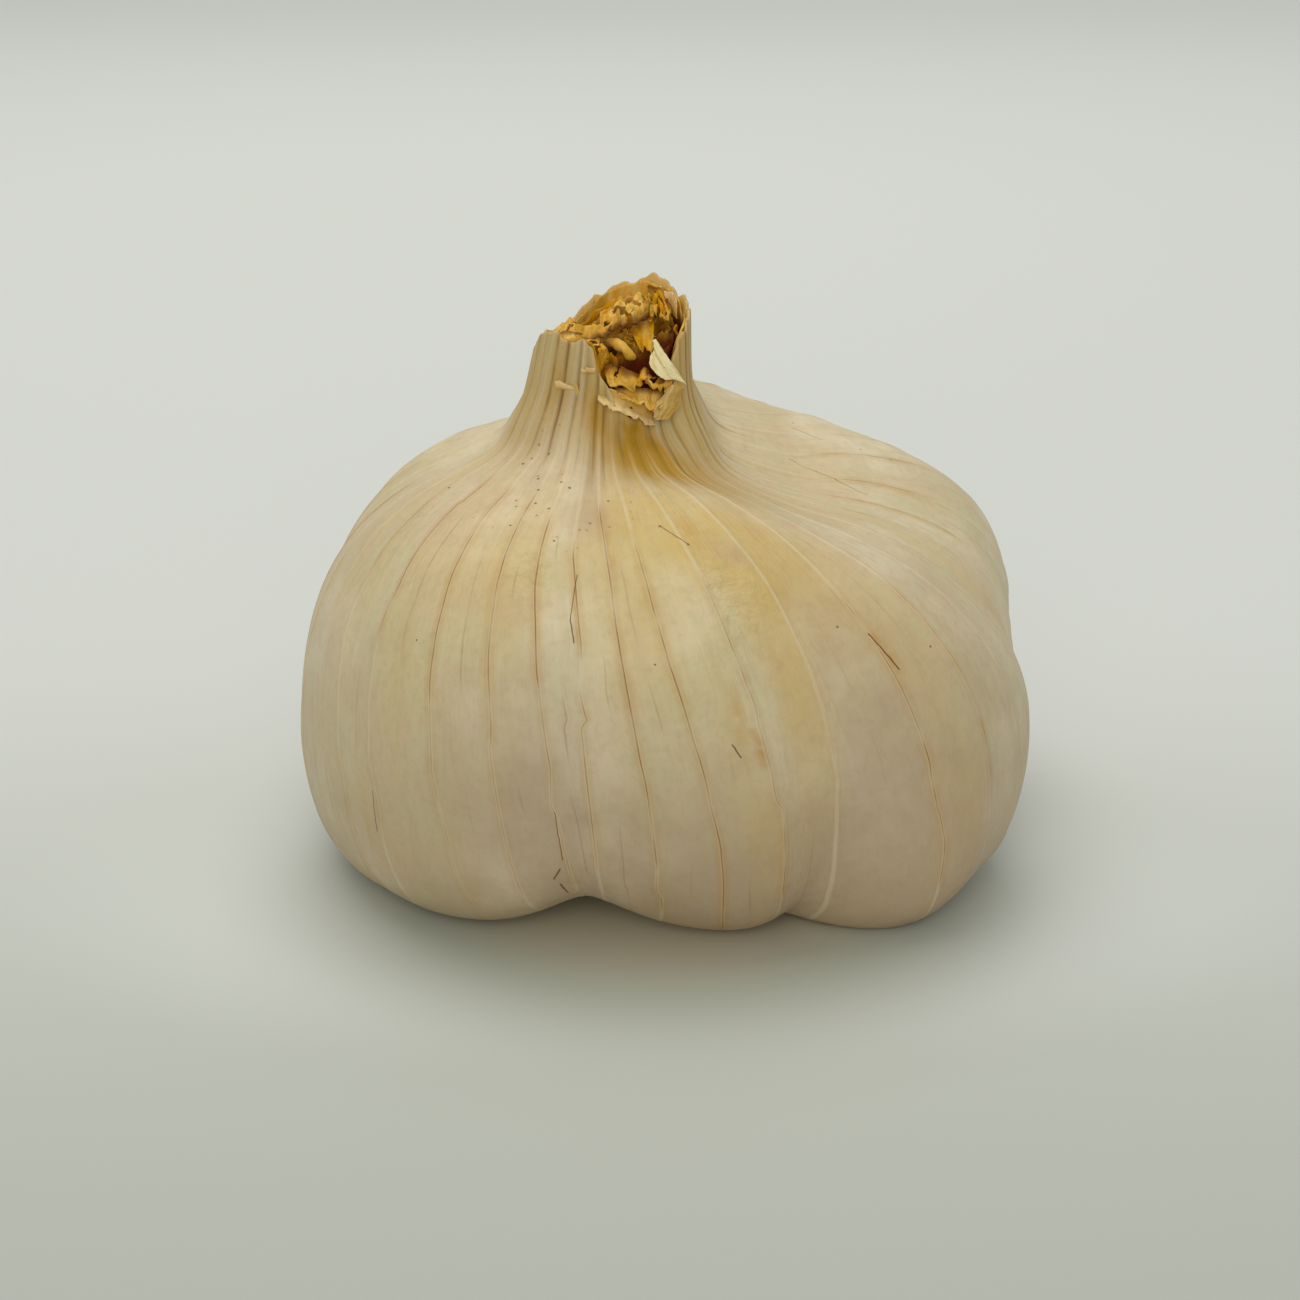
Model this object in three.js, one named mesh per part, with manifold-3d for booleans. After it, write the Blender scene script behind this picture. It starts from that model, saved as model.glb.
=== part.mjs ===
// A whole garlic bulb with its dry papery skin and its torn neck, as a small scene of named solids.
// Millimetres, +Z up. The bulb stands on the feet of its cloves at z = 0, and the origin is under the
// middle of it. Azimuths are degrees round the neck's axis from +X, and -90 is the front.

import * as THREE from 'three';
import * as BufferGeometryUtils from 'three/addons/utils/BufferGeometryUtils.js';
import Module from 'manifold-3d';

// Driving dimensions of the body

// The neck stands left of the middle, because the cloves on the right are the larger ones.
const AXIS_X = -5.2;
const AXIS_Y = -0.65;

// Going round the bulb: azimuth, reach of the skin at its widest, radius of the foot,
// height of the widest place and height of the shoulder.
const GIRTH = [
  [-180, 27.7, 18.7, 11.0, 36.1],
  [-150, 28.1, 19.8, 12.4, 36.8],
  [-122, 29.4, 18.5, 14.8, 37.0],
  [-96, 28.5, 18.4, 15.0, 37.0],
  [-75, 29.6, 17.8, 15.0, 37.0],
  [-53, 32.5, 23.4, 14.0, 36.5],
  [-36, 37.8, 29.9, 12.0, 35.0],
  [-15, 38.6, 28.4, 12.5, 33.6],
  [6, 37.7, 26.0, 15.0, 33.7],
  [26, 40.4, 24.5, 19.4, 36.2],
  [50, 35.0, 22.0, 19.0, 39.2],
  [73, 31.1, 20.0, 15.5, 40.8],
  [95, 29.8, 19.0, 15.0, 38.3],
  [117, 29.5, 19.5, 15.0, 37.0],
  [140, 29.5, 19.5, 15.8, 37.3],
  [160, 27.7, 19.0, 13.2, 36.7],
];
const REACH = 1;
const FOOT = 2;
const WIDEST = 3;
const SHOULDER = 4;

// The hollow underneath, which holds the root plate.
const HOLLOW_RADIUS = 8.5;
const HOLLOW_HEIGHT = 4.5;
// The cloves' feet are this much flattened where the bulb stands.
const FOOT_FLAT = 0.3;

// The neck: its radius, how far its top leans to +X, and the height where the lean begins.
const NECK_RADIUS = 7.0;
const NECK_LEAN = 1.2;
const LEAN_FROM = 38;
const LEAN_RISE = 15;

// Height of the torn edge going round the neck. It is torn right down at the front.
const TORN_EDGE = [
  [-180, 46.5], [-150, 48.3], [-120, 48.4], [-105, 47.9], [-98, 45.7], [-90, 44.2], [-78, 42.6], [-64, 41.8],
  [-50, 42.2], [-41, 43.4], [-34, 45.8], [-25, 48], [0, 49.1], [30, 50.4], [60, 51.6], [90, 50.4],
  [120, 48.3], [150, 47],
];
// Waves of the torn edge: how many round the neck, height and phase.
const TEARS = [[7, 0.25, 1.0], [16, 0.25, 2.2], [31, 0.2, 0.4]];
// The lip of the front tear curls outwards.
const LIP_AZIMUTH = -80;
const LIP_SPREAD = 20;
const LIP_OUT = 0.9;

// One line from the root plate up to the torn edge, for any azimuth. Place along the line from 0 to 1,
// then how much of the hollow's radius, the foot, the reach and the neck make its radius,
// then which stretch of height it is in and how far up that stretch.
const MERIDIAN = [
  [0.00, 1, 0, 0, 0, 'hollow', 1],
  [0.07, 0.55, 0.45, 0, 0, 'hollow', 0.35],
  [0.15, 0, 1, 0, 0, 'low', 0],
  [0.22, 0, 0.48, 0.52, 0, 'low', 0.1],
  [0.30, 0, 0.14, 0.86, 0, 'low', 0.45],
  [0.38, 0, 0, 1, 0, 'low', 1],
  [0.46, 0, 0, 0.985, 0, 'high', 0.3],
  [0.54, 0, 0, 0.92, 0, 'high', 0.56],
  [0.61, 0, 0, 0.8, 0, 'high', 0.77],
  [0.68, 0, 0, 0.62, 0.1, 'high', 0.91],
  [0.75, 0, 0, 0.37, 0.42, 'high', 1],
  [0.81, 0, 0, 0.12, 0.94, 'neck', 0.16],
  [0.86, 0, 0, 0.04, 1.04, 'neck', 0.38],
  [0.91, 0, 0, 0, 1.05, 'neck', 0.6],
  [1.00, 0, 0, 0, 0.93, 'neck', 1],
];

// Furrows between the cloves: azimuth at s 0.5, half width in degrees, depth at the foot, at the middle and
// near the shoulder, how far the furrow's foot stands off the ground, and degrees it drifts over all of s.
const FURROWS = [
  [-94, 14.5, 2.8, 0.6, 0.2, 2.9, 0],
  [-52, 6.5, 2.2, 0.6, 0.4, 1.2, 0],
  [-27, 7, 0.8, 0.5, 0.2, 0.3, 0],
  [-9, 8.5, 1.3, 1.3, 1.0, 1.5, -60],
  [50, 9, 2.5, 1.0, 0.8, 2.0, 0],
  [95, 9, 2.5, 1.0, 0.8, 2.0, 0],
  [140, 9, 2.5, 1.0, 0.8, 2.0, 0],
  [176, 8, 0.8, 0.8, 0.5, 1.0, 0],
  [-140, 8, 0.3, 0.2, 0.1, 0.2, 0],
];
const FURROW_SHARPNESS = 1.6;

// Raised veins run up the skin and become the pleats of the neck: their azimuths at the torn edge.
const VEINS = [
  -173, -164, -154, -141, -129, -119, -110, -102, -95, -86, -76, -65, -53, -42, -33, -22, -12, -3,
  6, 15, 24, 34, 44, 54, 65, 75, 85, 95, 105, 115, 126, 136, 146, 156, 166, 177,
];
const VEIN_HEIGHT = 0.28;
const PLEAT_HEIGHT = 0.4;
// Half a vein's width in degrees, on the body and on the neck.
const VEIN_HALF_WIDTH = 1.8;
const PLEAT_HALF_WIDTH = 2.8;
// From the neck down to the foot the veins drift this many degrees round the bulb.
const VEIN_DRIFT = 18;

// The hollow inside the neck.
const WALL = 0.8;
const CUP_RADIUS = 4.9;
const CUP_FLOOR = 39.2;
const CUP_ROWS = 5;

// The dried inner leaves that fill the neck.
const LEAF_GAP = 0.35;
const LEAF_THICKNESS = 0.7;
const FILL_BOTTOM = CUP_FLOOR + 0.3;
const FILL_MIDDLE = 42.6;
const FILL_BELOW_EDGE = 2.0;
const FILL_SIDES = 30;
const FILL_RINGS = 5;
const PIT = { x: 0.6, y: -2.3, width: 1.7, depth: 1.6 };
// Each layer: from and to azimuth, radius at its foot and at its top, and height of its top over
// the torn edge (or under it), all torn and waved.
const LAYERS = [
  { from: 20, to: 168, foot: 4.3, top: 4.9, over: -0.5, wave: 0.15 },
  { from: 178, to: 250, foot: 4.3, top: 4.75, over: -0.6, wave: 0.15 },
  { from: 45, to: 150, foot: 3.0, top: 3.5, over: -1.6, wave: 0.3 },
  { from: 158, to: 262, foot: 3.1, top: 3.3, over: -1.6, wave: 0.3 },
  { from: -38, to: 12, foot: 4.2, top: 4.6, over: -2.0, wave: 0.15 },
  { from: 70, to: 205, foot: 1.7, top: 1.9, over: -2.6, wave: 0.3 },
  { from: -30, to: 62, foot: 2.9, top: 2.6, over: -3.6, wave: 0.3 },
  { from: -112, to: -52, foot: 3.9, top: 4.5, over: -0.3, wave: 0.15 },
];
const LAYER_SINK = 1.4;
const STUB = { x: -0.75, y: -1.15, z: 43.7, radius: 0.75, length: 3.4, turn: 40, dip: 45 };
const FLAKE = { azimuth: -38, foot: 3.0, top: 3.9, from: 42.2, to: 46.0, width: 2.6 };

// The root plate and its trimmed roots.
const PLATE_PROFILE = [[0, 1.65], [3.0, 1.7], [6.5, 1.9], [9.0, 2.3], [9.2, 3.1], [7.6, 3.85], [0, 3.85]];
const PLATE_SIDES = 24;
const ROOTS = 34;
const ROOT_RADIUS = 0.5;
const ROOT_LONGEST = 1.7;
const ROOT_SHORTEST = 0.7;
const ROOT_LOWEST = 0.35;
const ROOT_START = 2.0;
const ROOT_SINK = 0.9;
// The roots stand in a spiral with the golden angle, and splay out towards the plate's edge.
const ROOTS_REACH = 8.2;
const ROOT_SPLAY = 25;
const GOLDEN_ANGLE = 137.508;

const DEGREE = Math.PI / 180;

// A cubic through knots on uneven places: value at t between p1 at t1 and p2 at t2.
function cubic(p0, p1, p2, p3, t0, t1, t2, t3, t) {
  const span = t2 - t1;
  const m1 = ((p2 - p0) / (t2 - t0)) * span;
  const m2 = ((p3 - p1) / (t3 - t1)) * span;
  const u = (t - t1) / span;
  const u2 = u * u;
  const u3 = u2 * u;
  return (2 * u3 - 3 * u2 + 1) * p1 + (u3 - 2 * u2 + u) * m1 + (3 * u2 - 2 * u3) * p2 + (u3 - u2) * m2;
}

// Value at t on a smooth curve through [place, value] knots in order.
function along(knots, t) {
  const last = knots.length - 1;
  let i = 0;
  while (i < last - 1 && knots[i + 1][0] <= t) i += 1;
  const [t1, p1] = knots[i];
  const [t2, p2] = knots[i + 1];
  const [t0, p0] = i > 0 ? knots[i - 1] : [2 * t1 - t2, 2 * p1 - p2];
  const [t3, p3] = i + 2 <= last ? knots[i + 2] : [2 * t2 - t1, 2 * p2 - p1];
  return cubic(p0, p1, p2, p3, t0, t1, t2, t3, t);
}

// Value at an azimuth on a smooth closed curve through rows that start with their azimuth.
function around(rows, column, azimuth) {
  const count = rows.length;
  const start = rows[0][0];
  const a = start + ((((azimuth - start) % 360) + 360) % 360);
  let i = count - 1;
  while (rows[i][0] > a) i -= 1;
  const knot = (k) => {
    const turns = Math.floor(k / count);
    const row = rows[k - turns * count];
    return [row[0] + 360 * turns, row[column]];
  };
  const [[t0, p0], [t1, p1], [t2, p2], [t3, p3]] = [knot(i - 1), knot(i), knot(i + 1), knot(i + 2)];
  return cubic(p0, p1, p2, p3, t0, t1, t2, t3, a);
}

// Smallest signed difference between two azimuths, in degrees.
function turnBetween(a, b) {
  return ((((a - b + 180) % 360) + 360) % 360) - 180;
}

function smooth(low, high, t) {
  return THREE.MathUtils.smoothstep(t, low, high);
}

// Height of the torn edge, with its small tears.
function edgeHeight(azimuth) {
  let height = around(TORN_EDGE, 1, azimuth);
  for (const [count, size, phase] of TEARS) height += size * Math.sin(count * azimuth * DEGREE + phase);
  return height;
}

// Radius and height of the smooth skin at an azimuth and a place s along the meridian.
function skinProfile(azimuth, s) {
  const foot = around(GIRTH, FOOT, azimuth);
  const reach = around(GIRTH, REACH, azimuth);
  const widest = around(GIRTH, WIDEST, azimuth);
  const shoulder = around(GIRTH, SHOULDER, azimuth);
  const edge = edgeHeight(azimuth);
  const heights = {
    hollow: (share) => HOLLOW_HEIGHT * share,
    low: (share) => widest * share,
    high: (share) => widest + (shoulder - widest) * share,
    neck: (share) => shoulder + (edge - shoulder) * share,
  };
  const radii = MERIDIAN.map(([t, a, b, c, d]) => [t, a * HOLLOW_RADIUS + b * foot + c * reach + d * NECK_RADIUS]);
  const levels = MERIDIAN.map(([t, , , , , stretch, share]) => [t, heights[stretch](share)]);
  let r = along(radii, s);
  let z = along(levels, s);
  for (const [at, halfWidth, low, middle, high, lift, drift] of FURROWS) {
    const away = Math.abs(turnBetween(azimuth, at + drift * (s - 0.5)) / halfWidth);
    const shape = Math.exp(-(away ** FURROW_SHARPNESS));
    const depth = [[0, 0], [0.1, 0.6 * low], [0.22, low], [0.42, middle], [0.62, high], [0.78, 0.3 * high], [1, 0]];
    r -= along(depth, s) * shape;
    z += lift * shape * Math.exp(-(((s - 0.16) / 0.12) ** 2));
  }
  const lip = Math.exp(-((turnBetween(azimuth, LIP_AZIMUTH) / LIP_SPREAD) ** 2));
  r += LIP_OUT * lip * smooth(0.92, 1, s);
  return { r, z: Math.max(0, z - FOOT_FLAT) };
}

// A point at a radius from the neck's axis, which leans above the shoulder.
function place(azimuth, r, z) {
  const lean = NECK_LEAN * THREE.MathUtils.clamp((z - LEAN_FROM) / LEAN_RISE, 0, 1) ** 1.3;
  const angle = azimuth * DEGREE;
  return new THREE.Vector3(r * Math.cos(angle) + AXIS_X + lean, r * Math.sin(angle) + AXIS_Y, z);
}

// A small repeatable sequence of numbers from 0 to 1.
function sequence(seed) {
  let state = seed;
  return () => {
    state = (state * 16807) % 2147483647;
    return state / 2147483647;
  };
}

// Rows of points that each close on themselves, shut by a pole at each end, made into one closed body.
function closedRings(rings, firstPole, lastPole) {
  const count = rings[0].length;
  const points = [firstPole, ...rings.flat(), lastPole];
  const faces = [];
  const at = (row, column) => 1 + row * count + (column % count);
  for (let c = 0; c < count; c += 1) {
    faces.push(0, at(0, c + 1), at(0, c));
    for (let row = 0; row < rings.length - 1; row += 1) {
      faces.push(at(row, c), at(row, c + 1), at(row + 1, c + 1));
      faces.push(at(row, c), at(row + 1, c + 1), at(row + 1, c));
    }
    faces.push(points.length - 1, at(rings.length - 1, c), at(rings.length - 1, c + 1));
  }
  const geometry = new THREE.BufferGeometry().setFromPoints(points);
  geometry.setIndex(faces);
  return geometry;
}

// A thin sheet over a grid: middle(u, v) gives its middle surface, and both faces share one diagonal.
function sheet(columns, rows, thickness, middle) {
  const outer = [];
  const inner = [];
  const step = 1e-3;
  for (let j = 0; j <= rows; j += 1) {
    for (let i = 0; i <= columns; i += 1) {
      const u = i / columns;
      const v = j / rows;
      const point = middle(u, v);
      const alongU = middle(u + step, v).sub(middle(u - step, v));
      const alongV = middle(u, v + step).sub(middle(u, v - step));
      const normal = alongU.cross(alongV).normalize().multiplyScalar(thickness / 2);
      outer.push(point.clone().add(normal));
      inner.push(point.clone().sub(normal));
    }
  }
  const size = outer.length;
  const at = (i, j) => j * (columns + 1) + i;
  const faces = [];
  const edge = (a, b) => faces.push(a, a + size, b + size, a, b + size, b);
  for (let j = 0; j < rows; j += 1) {
    for (let i = 0; i < columns; i += 1) {
      const [a, b, c, d] = [at(i, j), at(i + 1, j), at(i + 1, j + 1), at(i, j + 1)];
      faces.push(a, b, c, a, c, d);
      faces.push(a + size, c + size, b + size, a + size, d + size, c + size);
    }
    edge(at(0, j + 1), at(0, j));
    edge(at(columns, j), at(columns, j + 1));
  }
  for (let i = 0; i < columns; i += 1) {
    edge(at(i, 0), at(i + 1, 0));
    edge(at(i + 1, rows), at(i, rows));
  }
  const geometry = new THREE.BufferGeometry().setFromPoints([...outer, ...inner]);
  geometry.setIndex(faces);
  return geometry;
}

const wasm = await Module();
wasm.setup();

function toSolid(geometry) {
  const bare = geometry.clone();
  bare.deleteAttribute('normal');
  bare.deleteAttribute('uv');
  const merged = BufferGeometryUtils.mergeVertices(bare, 1e-4);
  const vertProperties = new Float32Array(merged.attributes.position.array);
  const triVerts = new Uint32Array(merged.index.array);
  return new wasm.Manifold(new wasm.Mesh({ numProp: 3, vertProperties, triVerts }));
}

function toGeometry(solid) {
  const mesh = solid.getMesh();
  const geometry = new THREE.BufferGeometry();
  geometry.setAttribute('position', new THREE.BufferAttribute(new Float32Array(mesh.vertProperties), 3));
  geometry.setIndex([...mesh.triVerts]);
  return geometry;
}

function joined(geometries) {
  return toGeometry(geometries.map(toSolid).reduce((whole, piece) => whole.add(piece)));
}

// Places along the meridian for the rows of points: close together at the feet, even above them.
function rowPlaces() {
  const feet = [0, 0.04, 0.08, 0.11, 0.14];
  const above = [];
  const first = 0.17;
  const steps = 24;
  for (let i = 0; i <= steps; i += 1) above.push(first + ((1 - first) * i) / steps);
  return [...feet, ...above];
}

// The cloves in their skin, with raised veins, the pleated neck and the hollow inside the torn edge.
function bulbGeometry() {
  const random = sequence(71);
  const columns = VEINS.flatMap((vein) => {
    const strength = 0.5 + 0.5 * random();
    return [-1, 0, 1].map((side) => ({ vein, side, strength }));
  });
  const rings = rowPlaces().map((s) => {
    const onNeck = smooth(0.66, 0.86, s);
    const halfWidth = VEIN_HALF_WIDTH + (PLEAT_HALF_WIDTH - VEIN_HALF_WIDTH) * onNeck;
    const height = (VEIN_HEIGHT + (PLEAT_HEIGHT - VEIN_HEIGHT) * onNeck) * smooth(0.2, 0.32, s);
    return columns.map(({ vein, side, strength }) => {
      const azimuth = vein + side * halfWidth + VEIN_DRIFT * (1 - s);
      const { r, z } = skinProfile(azimuth, s);
      const rise = side === 0 ? height * strength : 0;
      return place(azimuth, r + rise, z);
    });
  });
  for (let row = 0; row <= CUP_ROWS; row += 1) {
    const t = row / CUP_ROWS;
    rings.push(columns.map(({ vein, side }) => {
      const azimuth = vein + side * PLEAT_HALF_WIDTH;
      const edge = skinProfile(azimuth, 1);
      return place(azimuth, cupRadius(azimuth, t), edge.z + (CUP_FLOOR - edge.z) * t);
    }));
  }
  return closedRings(rings, place(0, 0, HOLLOW_HEIGHT - FOOT_FLAT), place(0, 0, CUP_FLOOR));
}

// Radius of the neck's inner wall, from the torn edge at t = 0 down to the floor at t = 1.
function cupRadius(azimuth, t) {
  return (skinProfile(azimuth, 1).r - WALL) * (1 - t) + CUP_RADIUS * t;
}

// Largest radius for a leaf at a height inside the neck, clear of the wall.
function roomAt(azimuth, z) {
  const edge = skinProfile(azimuth, 1).z;
  const t = THREE.MathUtils.clamp((edge - z) / (edge - CUP_FLOOR), 0, 1);
  return cupRadius(azimuth, t) - LEAF_GAP;
}

// Height of the packed leaf bases: it follows the torn edge, and a pit opens at the front.
function fillHeight(azimuth, share) {
  const edge = Math.max(around(TORN_EDGE, 1, azimuth) - FILL_BELOW_EDGE, FILL_BOTTOM + 0.7);
  const r = share * CUP_RADIUS;
  const x = r * Math.cos(azimuth * DEGREE);
  const y = r * Math.sin(azimuth * DEGREE);
  const pit = PIT.depth * Math.exp(-((x - PIT.x) ** 2 + (y - PIT.y) ** 2) / PIT.width ** 2);
  const crumple = 0.35 * Math.sin(5 * azimuth * DEGREE + 4 * share) * Math.sin(Math.PI * share);
  return Math.max(FILL_MIDDLE + (edge - FILL_MIDDLE) * share ** 1.6 + crumple - pit, FILL_BOTTOM + 0.6);
}

function fillGeometry() {
  const azimuths = Array.from({ length: FILL_SIDES }, (_, i) => (360 * i) / FILL_SIDES);
  const floorRadius = CUP_RADIUS - LEAF_GAP;
  const rings = [azimuths.map((azimuth) => place(azimuth, floorRadius, FILL_BOTTOM))];
  for (let ring = FILL_RINGS; ring >= 1; ring -= 1) {
    const share = ring / FILL_RINGS;
    rings.push(azimuths.map((azimuth) => {
      const z = fillHeight(azimuth, share);
      return place(azimuth, share * Math.min(roomAt(azimuth, z), CUP_RADIUS), z);
    }));
  }
  return closedRings(rings, place(0, 0, FILL_BOTTOM), place(0, 0, fillHeight(0, 0)));
}

// One torn, waved leaf layer that stands in the neck.
function layerGeometry({ from, to, foot, top, over, wave }, order) {
  const columns = Math.max(6, Math.round((to - from) / 12));
  const rows = 3;
  return sheet(columns, rows, LEAF_THICKNESS, (u, v) => {
    const azimuth = from + (to - from) * u;
    const ends = Math.sin(Math.PI * THREE.MathUtils.clamp(u, 0, 1)) ** 0.5;
    const tear = 0.55 * Math.sin(9 * u * Math.PI + order) + 0.35 * Math.sin(17 * u * Math.PI + 2 * order);
    const low = fillHeight(azimuth, foot / CUP_RADIUS) - LAYER_SINK;
    const high = around(TORN_EDGE, 1, azimuth) + over + tear - 1.4 * (1 - ends);
    const z = Math.max(low, FILL_BOTTOM + 0.1) + Math.max(high - low, 1.8) * v;
    const waved = foot + (top - foot) * v + wave * Math.sin(3 * azimuth * DEGREE + 3 * v + order);
    const room = roomAt(azimuth, Math.min(z, edgeHeight(azimuth))) - LEAF_THICKNESS / 2;
    return place(azimuth, Math.min(waved, room), z);
  });
}

// The dried stump of the flower stalk's sheath, a short rod that leans out of the pit.
function stubGeometry() {
  const stub = new THREE.CylinderGeometry(STUB.radius * 0.85, STUB.radius, STUB.length, 8);
  stub.rotateZ(STUB.dip * DEGREE);
  stub.rotateX(STUB.turn * DEGREE);
  stub.translate(AXIS_X + STUB.x, AXIS_Y + STUB.y, STUB.z);
  return stub;
}

// A pale flake that stands in the right of the pit and leans to the front.
function flakeGeometry() {
  return sheet(4, 4, LEAF_THICKNESS, (u, v) => {
    const spread = (u - 0.5) * FLAKE.width * (1 - 0.45 * v * v);
    const radius = FLAKE.foot + (FLAKE.top - FLAKE.foot) * Math.sin(v * 1.4);
    const azimuth = FLAKE.azimuth + (spread / radius) / DEGREE;
    return place(azimuth, radius + 0.25 * Math.cos(u * 7), FLAKE.from + (FLAKE.to - FLAKE.from) * v);
  });
}

function neckLeavesGeometry() {
  return joined([fillGeometry(), ...LAYERS.map(layerGeometry), flakeGeometry(), stubGeometry()]);
}

// The corky plate that the cloves grew on, with the stubs of its trimmed roots.
function rootPlateGeometry() {
  const random = sequence(29);
  const plate = new THREE.LatheGeometry(PLATE_PROFILE.map(([r, z]) => new THREE.Vector2(r, z)), PLATE_SIDES);
  plate.rotateX(Math.PI / 2);
  plate.translate(AXIS_X, AXIS_Y, 0);
  const pieces = [plate];
  for (let i = 0; i < ROOTS; i += 1) {
    const share = Math.sqrt((i + 3) / (ROOTS + 3));
    const reach = ROOTS_REACH * share;
    const azimuth = i * GOLDEN_ANGLE * DEGREE;
    const length = ROOT_SHORTEST + (ROOT_LONGEST - ROOT_SHORTEST) * random();
    const root = new THREE.CylinderGeometry(ROOT_RADIUS, ROOT_RADIUS * 0.75, length + ROOT_SINK, 5);
    root.rotateX(Math.PI / 2);
    root.translate(0, 0, -(length - ROOT_SINK) / 2);
    root.rotateY(-ROOT_SPLAY * DEGREE * share);
    root.rotateZ(azimuth);
    root.translate(AXIS_X + reach * Math.cos(azimuth), AXIS_Y + reach * Math.sin(azimuth), ROOT_START);
    root.computeBoundingBox();
    if (root.boundingBox.min.z < ROOT_LOWEST) root.translate(0, 0, ROOT_LOWEST - root.boundingBox.min.z);
    pieces.push(root);
  }
  return joined(pieces);
}

const skinMaterial = new THREE.MeshStandardMaterial({ color: '#c3b28a', roughness: 0.6, metalness: 0 });
const leafMaterial = new THREE.MeshStandardMaterial({ color: '#a87f3a', roughness: 0.8, metalness: 0 });
const rootMaterial = new THREE.MeshStandardMaterial({ color: '#8c7350', roughness: 0.9, metalness: 0 });

const garlic = new THREE.Group();

function add(name, geometry, material) {
  const mesh = new THREE.Mesh(geometry, material);
  mesh.name = name;
  garlic.add(mesh);
}

add('bulb', bulbGeometry(), skinMaterial);
add('neck_leaves', neckLeavesGeometry(), leafMaterial);
add('root_plate', rootPlateGeometry(), rootMaterial);

export default garlic;
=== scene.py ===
"""The looks of a dry garlic bulb: veined papery skin, a torn neck full of dried leaves, and a root plate.

Lengths are millimetres until a mesh is handed to Blender, which gets metres. Azimuths are degrees round the
neck's axis from +X, and -90 is the front. A place s runs along the skin from the root plate, at 0, up to the
torn edge of the neck, at 1.
"""

from __future__ import annotations

import logging
import math
from dataclasses import dataclass, field
from enum import Enum

import bpy
import numpy as np
from mathutils import Matrix, Vector


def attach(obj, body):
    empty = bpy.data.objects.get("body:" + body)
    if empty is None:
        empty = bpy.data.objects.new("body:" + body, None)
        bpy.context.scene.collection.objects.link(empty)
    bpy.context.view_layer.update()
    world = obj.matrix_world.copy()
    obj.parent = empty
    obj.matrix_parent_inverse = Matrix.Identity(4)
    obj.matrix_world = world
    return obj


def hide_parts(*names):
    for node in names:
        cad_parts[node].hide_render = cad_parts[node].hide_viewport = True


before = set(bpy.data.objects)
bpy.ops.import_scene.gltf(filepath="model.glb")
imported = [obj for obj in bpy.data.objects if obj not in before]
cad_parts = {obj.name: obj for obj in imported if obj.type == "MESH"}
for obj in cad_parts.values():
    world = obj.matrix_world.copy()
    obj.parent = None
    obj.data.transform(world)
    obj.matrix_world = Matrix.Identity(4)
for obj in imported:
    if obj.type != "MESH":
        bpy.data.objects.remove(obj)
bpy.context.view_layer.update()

LOG = logging.getLogger("garlic")
Array = np.ndarray
MM = 0.001
BODY = "root"
NOISE_TOP = 0.95
HOLE_RATE = 0.9
OCTAVE_SHIFT = 17.3
HASH_FACTORS = (374761393, 668265263, 1274126177, 974634777)
HASH_STIR = 1103515245
HASH_MOST = 0xFFFFFFFF


# Curves and noise


def through(rows: Array, x: Array) -> Array:
    """A smooth curve: a cubic between each two knots, with slopes taken from their neighbours.

    Args:
        rows: the knots as rows of place and value, in order, with one to spare at each end.
        x: where to read the curve.

    Returns:
        The curve's values at x.
    """
    i = np.clip(np.searchsorted(rows[:, 0], x, side="right") - 1, 1, len(rows) - 3)
    (t0, p0), (t1, p1), (t2, p2), (t3, p3) = ((rows[i + k, 0], rows[i + k, 1]) for k in (-1, 0, 1, 2))
    span = t2 - t1
    slope1 = (p2 - p0) / (t2 - t0) * span
    slope2 = (p3 - p1) / (t3 - t1) * span
    u = (x - t1) / span
    rise = 3 * u**2 - 2 * u**3
    return (1 - rise) * p1 + rise * p2 + (u**3 - 2 * u**2 + u) * slope1 + (u**3 - u**2) * slope2


def along(knots: Array, x: Array) -> Array:
    """A smooth curve through (place, value) knots, going straight on past its ends.

    Args:
        knots: rows of place and value, in order.
        x: where to read the curve.

    Returns:
        The curve's values at x.
    """
    knots = np.asarray(knots, float)
    return through(np.vstack([2 * knots[0] - knots[1], knots, 2 * knots[-1] - knots[-2]]), x)


def around(knots: Array, azimuth: Array) -> Array:
    """A smooth closed curve through (azimuth, value) knots.

    Args:
        knots: rows of azimuth and value, in order, over one turn.
        azimuth: where to read the curve, in degrees.

    Returns:
        The curve's values at the azimuths.
    """
    knots = np.asarray(knots, float)
    turn = np.array([360.0, 0.0])
    x = (azimuth - knots[0, 0]) % 360 + knots[0, 0]
    return through(np.vstack([knots[-2:] - turn, knots, knots[:2] + turn]), x)


def step(low: float, high: float, x: Array) -> Array:
    """A smooth step: 0 below low, 1 above high, 3t^2 - 2t^3 between."""
    t = np.clip((x - low) / (high - low), 0, 1)
    return t * t * (3 - 2 * t)


def bell(distance: Array, width: float) -> Array:
    """A bell: e to the minus square of distance over width."""
    return np.exp(-((distance / width) ** 2))


def turn_between(a: Array, b: Array) -> Array:
    """Smallest signed difference between two azimuths, in degrees."""
    return (a - b + 180) % 360 - 180


def corner_value(ix: Array, iy: Array, iz: Array, seed: int) -> Array:
    """A repeatable value from -1 to 1 for each corner of a lattice, from its whole-number place."""
    h = sum(number * factor for number, factor in zip((ix, iy, iz, seed), HASH_FACTORS)) & HASH_MOST
    h = ((h ^ (h >> 13)) * HASH_STIR) & HASH_MOST
    h = h ^ (h >> 16)
    return h / HASH_MOST * 2 - 1


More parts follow.
